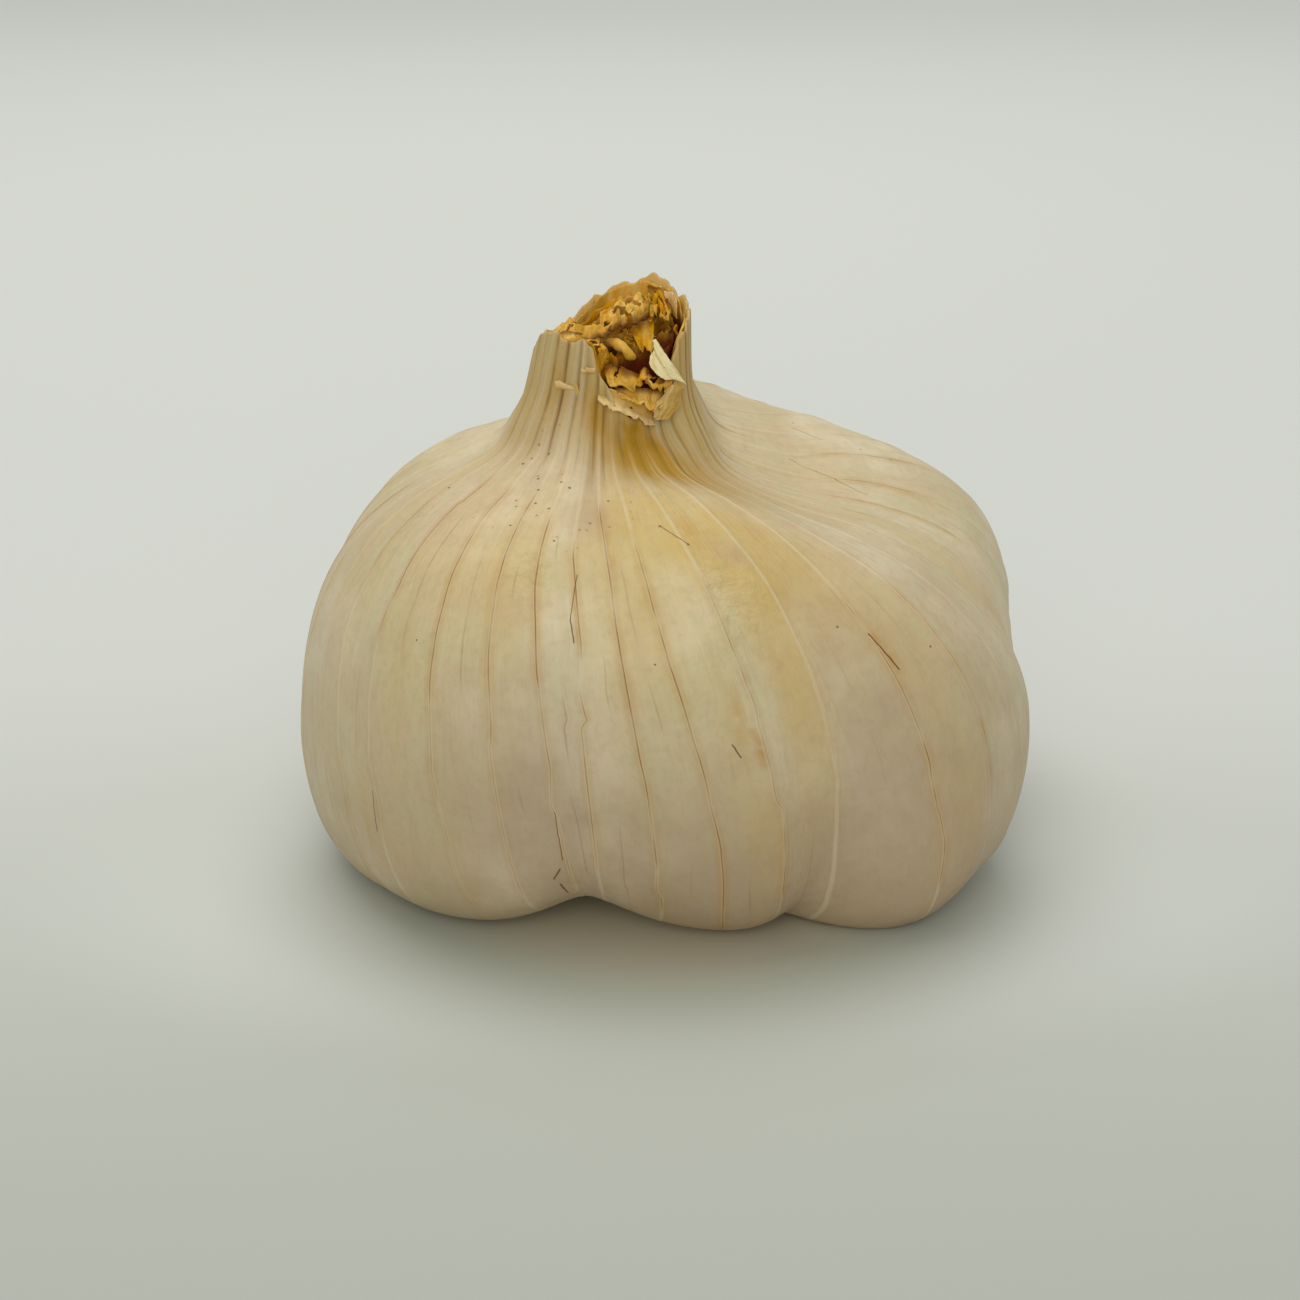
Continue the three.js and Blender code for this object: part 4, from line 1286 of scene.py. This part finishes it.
@dataclass
class RootPlate:
    """The corky plate in the hollow underneath, with the stubs of its trimmed roots.

    The roots spread from the middle, where there is no room for the first few, left_bare in all.
    """

    shape: BulbShape
    left_bare: int = 8
    columns: int = 160
    rows: int = 70
    roughness: float = 0.22
    roots: int = 150
    spread: float = 8.6
    seed: int = 21
    root_height: float = 2.5
    lowest: float = 0.25

    def plate(self, gathered: Gathered) -> None:
        """The plate: a flat disc with a rounded rim, rough by noise, a little hollow in its middle."""
        azimuth = np.linspace(0, 360, self.columns, endpoint=False)
        places = np.linspace(0, 1, len(PLATE_SECTION))
        t = np.linspace(0, 1, self.rows)
        r, z = (along(np.stack([places, PLATE_SECTION[:, k]], axis=-1), t) for k in (0, 1))
        a, r = np.meshgrid(azimuth, r, indexing="ij")
        z = np.broadcast_to(z, r.shape)
        x = self.shape.axis[0] + r * np.cos(np.radians(a))
        y = self.shape.axis[1] + r * np.sin(np.radians(a))
        points = np.stack([x, y, z], axis=-1)
        rough = self.roughness * noise(points / 1.3, seed=70, octaves=4) * step(0.3, 1.5, r)
        points = points + grid_normals(points, wrap=True) * rough[..., None]
        rings = points.transpose(1, 0, 2)
        first = rings[0].mean(axis=0)
        last = rings[-1].mean(axis=0)
        vertices, faces = closed_rings(rings, first, last)
        gathered.add(vertices, faces, {"tone": np.zeros(len(vertices))})

    def root(self, gathered: Gathered, rng: np.random.Generator, order: int) -> None:
        """One trimmed root: a bent, tapering thread that leans outwards and ends in a torn tip."""
        share = math.sqrt((order + self.left_bare) / (self.roots + self.left_bare))
        azimuth = math.radians(order * GOLDEN_TURN + rng.uniform(-8, 8))
        reach = self.spread * share
        out = np.array([math.cos(azimuth), math.sin(azimuth), 0])
        foot = np.array([*self.shape.axis, self.root_height]) + reach * out
        length = rng.uniform(1.4, 3.6) * (0.6 + 0.6 * share)
        t = np.linspace(0, 1, 9)[:, None]
        lean = rng.uniform(0.1, 0.8) * share
        aside = np.array([-out[1], out[0], 0]) * rng.normal(0, 0.35)
        path = foot + length * (out * lean * t**1.5 + aside * t + np.array([0, 0, -0.75]) * t)
        path[:, 2] = np.maximum(path[:, 2], self.lowest + 0.12)
        thick = rng.uniform(0.22, 0.42) * (1 - 0.45 * t)
        points = thread_rings(path, thick, -np.linspace(0, 2 * math.pi, 6, endpoint=False))
        points = points + 0.06 * noise(points / 0.5, seed=82, octaves=2)[..., None]
        points[..., 2] = np.maximum(points[..., 2], self.lowest)
        vertices, faces = closed_rings(points, path[0], points[-1].mean(axis=0))
        gathered.add(vertices, faces, {"tone": np.full(len(vertices), rng.uniform(0.4, 1.0))})

    def build(self) -> bpy.types.Object:
        """Gathers the plate and its roots into one piece."""
        gathered = Gathered()
        self.plate(gathered)
        rng = np.random.default_rng(self.seed)
        for order in range(self.roots):
            self.root(gathered, rng, order)
        return gathered.build("root_plate_with_stubs")


# Finishes


Socket = bpy.types.NodeSocket


@dataclass
class Shade:
    """A material's node tree with the few operations that the finishes are written in."""

    name: str
    tree: bpy.types.NodeTree = field(init=False)
    material: bpy.types.Material = field(init=False)

    def __post_init__(self) -> None:
        """Starts an empty material."""
        self.material = bpy.data.materials.new(self.name)
        self.material.use_nodes = True
        self.tree = self.material.node_tree
        self.tree.nodes.clear()

    def number(self, name: str) -> Socket:
        """A number that the mesh carries at each point."""
        return add_node(self.tree, "ShaderNodeAttribute", attribute_name=name).outputs["Fac"]

    def vector(self, name: str) -> Socket:
        """A vector that the mesh carries at each point."""
        return add_node(self.tree, "ShaderNodeAttribute", attribute_name=name).outputs["Vector"]

    def spot(self) -> Socket:
        """Object coordinates, in metres."""
        return add_node(self.tree, "ShaderNodeTexCoord").outputs["Object"]

    def math(self, operation: str, a: object, b: object) -> Socket:
        """One operation on two values, kept between 0 and 1 where it is a product."""
        settings = {"operation": operation, "use_clamp": operation == "MULTIPLY"}
        return add_node(self.tree, "ShaderNodeMath", {0: a, 1: b}, **settings).outputs[0]

    def times(self, a: object, b: object) -> Socket:
        """A product between 0 and 1."""
        return self.math("MULTIPLY", a, b)

    def vectors(self, operation: str, inputs: dict) -> Socket:
        """One operation on vectors."""
        return add_node(self.tree, "ShaderNodeVectorMath", inputs, operation=operation).outputs[0]

    def length(self, vector: Socket) -> Socket:
        """The length of a vector."""
        return add_node(self.tree, "ShaderNodeVectorMath", {0: vector}, operation="LENGTH").outputs["Value"]

    def parts(self, vector: Socket) -> tuple[Socket, Socket, Socket]:
        """The x, y and z of a vector."""
        return tuple(add_node(self.tree, "ShaderNodeSeparateXYZ", {0: vector}).outputs)

    def seen_from(self, spot: Socket, place: object, turn: object, scale: tuple) -> Socket:
        """Coordinates seen from a place, turned, in units of a scale."""
        inputs = {"Vector": spot, "Location": place, "Rotation": turn, "Scale": scale}
        return add_node(self.tree, "ShaderNodeMapping", inputs, vector_type="TEXTURE").outputs[0]

    def ramp(self, value: object, low: float, high: float, start: float = 0.0, end: float = 1.0) -> Socket:
        """A smooth change from start at low to end at high."""
        inputs = {"Value": value, "From Min": low, "From Max": high, "To Min": start, "To Max": end}
        return add_node(self.tree, "ShaderNodeMapRange", inputs, interpolation_type="SMOOTHSTEP").outputs[0]

    def under(self, value: object, low: float, high: float) -> Socket:
        """1 below low and 0 above high. Low is the smaller number."""
        return self.ramp(value, low, high, 1.0, 0.0)

    def raw(self, vector: Socket, scale: float, detail: float = 3.0) -> Socket:
        """Plain noise."""
        inputs = {"Vector": vector, "Scale": scale, "Detail": detail}
        return add_node(self.tree, "ShaderNodeTexNoise", inputs).outputs["Fac"]

    def noise(self, vector: Socket, scale: float, low: float, high: float) -> Socket:
        """Noise stretched so that low to high becomes 0 to 1."""
        return self.ramp(self.raw(vector, scale), low, high)

    def mix(self, factor: object, a: object, b: object) -> Socket:
        """A colour between a and b. A hex colour is turned linear."""
        a = linear(a) if isinstance(a, str) else a
        b = linear(b) if isinstance(b, str) else b
        return add_node(self.tree, "ShaderNodeMix", {0: factor, 6: a, 7: b}, data_type="RGBA").outputs[2]

    def lay(self, colour: Socket, tint: str, strength: float, *masks: Socket) -> Socket:
        """Lays a tint over a colour, as strong as the product of the masks and a strength."""
        amount = masks[0]
        for factor in (*masks[1:], strength):
            amount = self.times(amount, factor)
        return self.mix(amount, colour, tint)

    def bump(self, height: Socket, strength: object, distance: float, before: Socket | None = None) -> Socket:
        """A bumped normal. Distance is in metres."""
        inputs = {"Height": height, "Strength": strength, "Distance": distance}
        if before is not None:
            inputs["Normal"] = before
        return add_node(self.tree, "ShaderNodeBump", inputs).outputs["Normal"]

    def finish(self, colour: Socket, normal: Socket | None = None, **constants: float) -> bpy.types.Material:
        """Ends the material with a principled shader whose constants are set on its own sockets."""
        inputs = {"Base Color": colour}
        if normal is not None:
            inputs["Normal"] = normal
        inputs.update({key.replace("_", " "): value for key, value in constants.items()})
        shader = add_node(self.tree, "ShaderNodeBsdfPrincipled", inputs)
        add_node(self.tree, "ShaderNodeOutputMaterial", {"Surface": shader.outputs["BSDF"]})
        return self.material


@dataclass(frozen=True)
class PaperySkin:
    """Dry garlic skin: thin satin paper with long fibres, cream to straw, veins brown or raised and pale."""

    shape: BulbShape
    cream: str = "#dccfb1"
    pink: str = "#cfbd9a"
    green: str = "#c9c19a"
    straw: str = "#c7a750"
    shaded: str = "#a89572"
    violet_and_shade: str = "#aa937e"
    olive: str = "#b9b094"
    ochre: str = "#b08400"
    orange: str = "#b5862c"
    brown: str = "#8a6120"
    groove_shade: str = "#8a6514"
    pale: str = "#e6dcc0"
    inside: str = "#c8a45a"
    speck: str = "#673f16"
    neck: str = "#bb9a4c"
    tan: str = "#c4ab8a"
    broad_fibre: str = "#a98f66"
    fine_fibre: str = "#9a8260"
    grain: str = "#a78f63"
    raggedness: float = 0.12
    mark_depth: float = 8.0

    def mark(self, shade: Shade, spot: Socket, mark: Mark) -> Socket:
        """Where a mark is: the distance from its middle line, measured flat on the skin, against its width.

        Args:
            shade: the material.
            spot: object coordinates.
            mark: the mark.

        Returns:
            1 on the mark and 0 off it.
        """
        ends = [self.shape.on_skin(azimuth, s) for azimuth, s in zip(mark.azimuths, mark.places)]
        start, normal = ends[0]
        way = Vector(ends[1][0] - start)
        length = way.length
        out = Vector(normal)
        along_mark = way.normalized() if length > 0 else out.orthogonal().normalized()
        aside = out.cross(along_mark).normalized()
        out = along_mark.cross(aside)
        turn = Matrix((along_mark, aside, out)).transposed().to_euler()
        x, y, z = shade.parts(shade.seen_from(spot, Vector(start) * MM, turn, (MM, MM, self.mark_depth * MM)))
        inside = add_node(shade.tree, "ShaderNodeClamp", {"Value": x, "Min": 0.0, "Max": length}).outputs[0]
        over = shade.math("SUBTRACT", x, inside)
        flat = add_node(shade.tree, "ShaderNodeCombineXYZ", {0: over, 1: y, 2: z}).outputs[0]
        return shade.under(shade.length(flat), 0.5 * mark.half_width, mark.half_width)

    def build(self) -> bpy.types.Material:
        """Builds the material.

        Noise over spot is counted in cells to the metre. The attribute fibre runs along the fibres, so noise
        over it makes streaks. The veins are drawn by the attribute across, the distance from the nearest vein
        in millimetres, and the creases by the attribute between.
        """
        shade = Shade("garlic_skin_dry_papery")
        fibre = shade.vector("fibre")
        spot = shade.spot()
        place = shade.number("place")
        colour = shade.mix(shade.noise(spot, 75, 0.40, 0.62), self.cream, self.pink)
        colour = shade.lay(colour, self.green, 0.7, shade.noise(spot, 120, 0.42, 0.66))
        colour = shade.lay(colour, self.straw, 0.25, shade.noise(fibre, 0.25, 0.42, 0.70))
        colour = shade.lay(colour, self.tan, 0.30, shade.noise(spot, 260, 0.45, 0.68))
        # Painted shade: the lower part of the skin turns darker, as if out of the lamp's light, and greyer,
        # its own tone.
        low = shade.under(place, 0.22, 0.52)
        colour = shade.lay(colour, self.shaded, 0.65, low, shade.noise(spot, 60, 0.2, 0.55))
        patchy = shade.noise(spot, 260, -0.35, 0.62)
        # The violet patches are partly the skin's own colour and partly painted shade.
        for name, strength, tint in (
            ("straw", 0.72, self.straw), ("violet_and_shade", 0.62, self.violet_and_shade), ("olive", 0.5, self.olive),
        ):
            colour = shade.lay(colour, tint, strength, shade.number(name), patchy)
        colour = shade.lay(colour, self.broad_fibre, 0.13, shade.noise(fibre, 1.1, 0.5, 0.75))
        colour = shade.lay(colour, self.fine_fibre, 0.10, shade.noise(fibre, 3.6, 0.45, 0.8))
        colour = shade.lay(colour, self.grain, 0.16, shade.noise(spot, 1300, 0.42, 0.72))
        on_neck = shade.ramp(place, 0.78, 0.9)
        colour = shade.lay(colour, self.neck, 0.6, on_neck, shade.noise(fibre, 0.5, 0.25, 0.55))
        # Ochre stains, and under the front tear partly painted shadow of the curled lip.
        streaky = shade.noise(fibre, 0.9, 0.10, 0.42)
        colour = shade.lay(colour, self.ochre, 0.95, shade.number("ochre"), streaky)
        colour = shade.lay(colour, self.orange, 0.8, shade.number("orange"), shade.noise(spot, 600, 0.3, 0.6))

        across = shade.number("across")
        body = shade.under(place, 0.75, 0.92)
        dark = shade.times(shade.number("dark"), body)
        colour = shade.lay(colour, self.pale, 0.35, shade.under(across, 0.04, 0.22), body)
        colour = shade.lay(colour, self.orange, 0.3, shade.under(across, 0.1, 0.8), dark)
        colour = shade.lay(colour, self.brown, 0.8, shade.under(across, 0.02, 0.10), dark)
        between = shade.number("between")
        crease = shade.number("crease")
        colour = shade.lay(colour, self.brown, 0.8, shade.under(between, 0.02, 0.12), crease)
        # Painted shade in the grooves between the neck's pleats.
        colour = shade.lay(colour, self.groove_shade, 0.8, shade.under(between, 0.05, 0.36), crease, on_neck)
        colour = shade.lay(colour, self.speck, 0.85, self.marks(shade, spot))
        colour = shade.mix(shade.number("inside"), colour, self.inside)

        crinkled = shade.ramp(shade.number("crinkled"), 0.0, 1.0, 0.12, 1.0)
        normal = shade.bump(shade.raw(fibre, 2.6, 4.0), 0.30, 0.0003)
        normal = shade.bump(shade.raw(spot, 750, 3.0), crinkled, 0.0005, normal)
        normal = shade.bump(shade.raw(spot, 2600, 2.0), 0.2, 0.0001, normal)
        return shade.finish(colour, normal, Roughness=0.48, IOR=1.45, Specular_IOR_Level=0.38,
                            Subsurface_Weight=0.15, Subsurface_Scale=0.002)

    def marks(self, shade: Shade, spot: Socket) -> Socket:
        """Where the brown specks, slits and dots are. The slits and dots are a little ragged."""
        marks = shade.math(
            "MAXIMUM",
            self.dots(shade, spot, 330, 0.05, 0.90),
            shade.times(self.dots(shade, spot, 1150, 0.2, 0.55), shade.number("speckled")),
        )
        ragged = add_node(shade.tree, "ShaderNodeTexNoise", {"Vector": spot, "Scale": 1500.0, "Detail": 2.0})
        shift = shade.vectors("SUBTRACT", {0: ragged.outputs["Color"], 1: (0.5, 0.5, 0.5)})
        shift = shade.vectors("SCALE", {0: shift, "Scale": self.raggedness * MM})
        moved = shade.vectors("ADD", {0: spot, 1: shift})
        for mark in MARKS:
            marks = shade.math("MAXIMUM", marks, self.mark(shade, moved, mark))
        return marks

    def dots(self, shade: Shade, spot: Socket, scale: float, size: float, limit: float) -> Socket:
        """Scattered round specks: near the points of cells whose random colour passes a limit."""
        cells = add_node(shade.tree, "ShaderNodeTexVoronoi", {"Vector": spot, "Scale": float(scale)})
        drawn = add_node(shade.tree, "ShaderNodeSeparateColor", {"Color": cells.outputs["Color"]})
        chosen = shade.math("GREATER_THAN", drawn.outputs["Red"], limit)
        return shade.times(shade.under(cells.outputs["Distance"], 0.5 * size, size), chosen)


@dataclass(frozen=True)
class DriedLeaf:
    """Dried, torn leaf: matt ochre paper, pale at worn places, and darkened to red-brown far down in the neck
    by painted shade.
    """

    pale: str = "#e3ba62"
    ochre: str = "#d29200"
    olive: str = "#a07c00"
    depth_shade: str = "#541a00"
    streak: str = "#8a5f1c"

    def build(self) -> bpy.types.Material:
        """Builds the material: tone and painted shade by depth come from attributes, and fine noise from the
        fibres.
        """
        shade = Shade("garlic_neck_leaf_dried_torn")
        fibre = shade.vector("fibre")
        spread = shade.ramp(shade.raw(fibre, 0.8, 4.0), 0.35, 0.65, -0.3, 0.3)
        total = shade.math("ADD", shade.number("tone"), spread)
        colour = shade.mix(shade.ramp(total, 0.0, 1.0), self.pale, self.ochre)
        colour = shade.lay(colour, self.olive, 0.6, shade.noise(fibre, 0.5, 0.45, 0.65))
        colour = shade.lay(colour, self.streak, 0.25, shade.noise(fibre, 3.0, 0.5, 0.8))
        # Painted shade: red-brown where the leaves lie far under the torn opening.
        colour = shade.mix(shade.number("depth_shade"), colour, self.depth_shade)
        normal = shade.bump(shade.raw(fibre, 3.5, 4.0), 0.5, 0.0003)
        return shade.finish(colour, normal, Roughness=0.75, IOR=1.4, Specular_IOR_Level=0.15,
                            Subsurface_Weight=0.1, Subsurface_Scale=0.001)


@dataclass(frozen=True)
class PaleScrap:
    """Scraps of outer skin: the same paper, with bleached torn edges, and a paler flake."""

    skin: str = "#c9a04e"
    bleached: str = "#ecca92"
    flake: str = "#ecd8a6"
    streak: str = "#a98c52"

    def build(self) -> bpy.types.Material:
        """Builds the material: the attribute edge bleaches the torn top, and tone marks the flake."""
        shade = Shade("garlic_outer_skin_torn_scrap")
        fibre = shade.vector("fibre")
        colour = shade.mix(shade.number("edge"), self.skin, self.bleached)
        colour = shade.mix(shade.number("tone"), colour, self.flake)
        colour = shade.lay(colour, self.streak, 0.5, shade.noise(fibre, 2.4, 0.45, 0.75))
        normal = shade.bump(shade.raw(fibre, 3.0, 4.0), 0.4, 0.0002)
        return shade.finish(colour, normal, Roughness=0.6, IOR=1.45, Specular_IOR_Level=0.25,
                            Subsurface_Weight=0.15, Subsurface_Scale=0.001)


@dataclass(frozen=True)
class CorkyRoot:
    """Dry root plate: corky, matt grey-brown, with straw-coloured root stubs."""

    cork: str = "#8a7252"
    straw: str = "#c0a678"
    soil: str = "#4d3a26"

    def build(self) -> bpy.types.Material:
        """Builds the material: cork for the plate, straw for the roots, and soil-brown in patches."""
        shade = Shade("garlic_root_plate_corky")
        spot = shade.spot()
        dirt = shade.raw(spot, 500, 5.0)
        colour = shade.mix(shade.number("tone"), self.cork, self.straw)
        colour = shade.mix(shade.ramp(dirt, 0.45, 0.7, 0.0, 0.8), colour, self.soil)
        normal = shade.bump(dirt, 0.8, 0.0004)
        return shade.finish(colour, normal, Roughness=0.9, IOR=1.4)


# The stage


@dataclass
class Stage:
    """The pale floor, the soft lights and the camera, in metres but for the floor's rings.

    The floor's colour paints light and shade over two stretches of Y, darker to the front and lighter far
    off, and inside two ovals, whose half widths are given: painted light round the bulb and a warm painted
    shadow close to it.
    """

    # The middle colour is the floor's own; the others paint light and shade on it.
    front_painted_shade_colour: str = "#b4b9b2"
    middle_colour: str = "#d2d6d4"
    far_painted_light_colour: str = "#e3e7e4"
    beside_painted_light_colour: str = "#ccd1ce"
    near_painted_shadow_colour: str = "#b2b7ac"
    warm_painted_shadow_colour: str = "#bfb9a4"
    floor_rings: tuple[float, ...] = (50.0, 300.0, 3000.0)
    floor_columns: int = 96
    middle_from: tuple[float, float] = (-0.09, 0.06)
    far_from: tuple[float, float] = (0.10, 0.62)
    oval_middle: tuple[float, float, float] = (0.0, -0.012, 0.0)
    wide_oval: tuple[float, float] = (0.050, 0.028)
    near_oval: tuple[float, float] = (0.026, 0.026)
    lens: float = 70.0
    distance: float = 0.229
    elevation: float = 20.0
    target: tuple[float, float, float] = (-0.0013, -0.00065, 0.0181)
    sky: float = 0.50
    sky_colour: str = "#f6f8f4"
    lamp_colour: str = "#fffaf0"
    overhead_place: tuple[float, float, float] = (-0.06, 0.16, 0.62)
    overhead_energy: float = 2.2
    overhead_size: float = 0.6
    fill_place: tuple[float, float, float] = (-0.02, -0.55, 0.26)
    fill_energy: float = 1.0
    fill_angle: float = 42.0

    def away(self, shade: Shade, half_x: float, half_y: float) -> Socket:
        """Distance from just in front of the bulb's middle, in half widths of an oval on the floor."""
        return shade.length(shade.seen_from(shade.spot(), self.oval_middle, (0, 0, 0), (half_x, half_y, 1.0)))

    def floor(self) -> bpy.types.Object:
        """A wide round floor at the height the bulb stands on."""
        columns = self.floor_columns
        a = np.linspace(0, 2 * math.pi, columns, endpoint=False)
        circle = np.stack([np.cos(a), np.sin(a), 0 * a], axis=-1)
        vertices = np.vstack([radius * circle for radius in self.floor_rings] + [[0, 0, 0]])
        faces = ring_faces(columns, len(self.floor_rings))[:, ::-1].tolist()
        faces += [[len(vertices) - 1, k, (k + 1) % columns] for k in range(columns)]
        floor = new_object("floor", vertices, faces, {})
        shade = Shade("pale_table_painted_light_and_shadow")
        depth = shade.parts(shade.spot())[1]
        # Painted shade darkens the front of the floor and painted light brightens its far end.
        tint = shade.mix(shade.ramp(depth, *self.middle_from), self.front_painted_shade_colour, self.middle_colour)
        tint = shade.mix(shade.ramp(depth, *self.far_from), tint, self.far_painted_light_colour)
        # Painted light lifts the shade at the bulb's sides; close round it lies a darker painted shadow, warm
        # as from light the bulb throws back.
        beside = shade.under(self.away(shade, *self.wide_oval), 0.7, 1.3)
        tint = shade.mix(beside, tint, self.beside_painted_light_colour)
        away = self.away(shade, *self.near_oval)
        tint = shade.mix(shade.under(away, 0.75, 1.4), tint, self.near_painted_shadow_colour)
        tint = shade.mix(shade.under(away, 0.45, 0.85), tint, self.warm_painted_shadow_colour)
        floor.data.materials.append(shade.finish(tint, Roughness=0.7))
        return floor

    def light(self, name: str, kind: str, place: tuple, energy: float) -> bpy.types.Light:
        """A warm white lamp that faces the bulb."""
        lamp = bpy.data.lights.new(name, kind)
        lamp.energy = energy
        lamp.color = linear(self.lamp_colour)[:3]
        holder = bpy.data.objects.new(name, lamp)
        aim = Vector(self.target) - Vector(place)
        holder.matrix_world = Matrix.Translation(place) @ aim.to_track_quat("-Z", "Y").to_matrix().to_4x4()
        bpy.context.scene.collection.objects.link(holder)
        return lamp

    def lights(self) -> None:
        """A large soft lamp above and a little behind, soft far light from the front, and an even sky."""
        overhead = self.light("overhead_softbox", "AREA", self.overhead_place, self.overhead_energy)
        overhead.size = self.overhead_size
        fill = self.light("front_fill", "SUN", self.fill_place, self.fill_energy)
        fill.angle = math.radians(self.fill_angle)
        world = bpy.data.worlds.new("even_sky")
        world.use_nodes = True
        background = world.node_tree.nodes["Background"]
        background.inputs["Color"].default_value = linear(self.sky_colour)
        background.inputs["Strength"].default_value = self.sky
        bpy.context.scene.world = world

    def camera(self) -> None:
        """The camera at the photograph's angle, looking along +Y and down."""
        lens = bpy.data.cameras.new("photo_camera")
        lens.lens = self.lens
        lens.sensor_width = 36.0
        lens.clip_start = 0.01
        lens.clip_end = 20.0
        holder = bpy.data.objects.new("photo_camera", lens)
        down = math.radians(self.elevation)
        back = Vector((0, -math.cos(down), math.sin(down))) * self.distance
        turn = Matrix.Rotation(math.radians(90 - self.elevation), 4, "X")
        holder.matrix_world = Matrix.Translation(Vector(self.target) + back) @ turn
        bpy.context.scene.collection.objects.link(holder)
        bpy.context.scene.camera = holder

    def build(self) -> None:
        """Sets the floor, lights, camera and plain colour display."""
        self.floor()
        self.lights()
        self.camera()
        bpy.context.scene.view_settings.view_transform = "Standard"


def dress(piece: bpy.types.Object, material: bpy.types.Material, nodes: tuple[str, ...]) -> None:
    """Gives a piece its material and body, hides the CAD nodes that it stands for, and reports it."""
    piece.data.materials.append(material)
    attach(piece, BODY)
    if nodes:
        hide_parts(*nodes)
    LOG.info("%s: %d vertices, %d faces", piece.name, len(piece.data.vertices), len(piece.data.polygons))


def main() -> None:
    """Builds the stage and the four pieces."""
    logging.basicConfig(level=logging.INFO, format="%(name)s: %(message)s")
    Stage().build()
    shape = BulbShape()
    dress(Skin(shape).build(), PaperySkin(shape).build(), ("bulb",))
    dress(NeckLeaves(shape).build(), DriedLeaf().build(), ("neck_leaves",))
    dress(TornSkin(shape).build(), PaleScrap().build(), ())
    dress(RootPlate(shape).build(), CorkyRoot().build(), ("root_plate",))


if __name__ == "__main__":
    main()
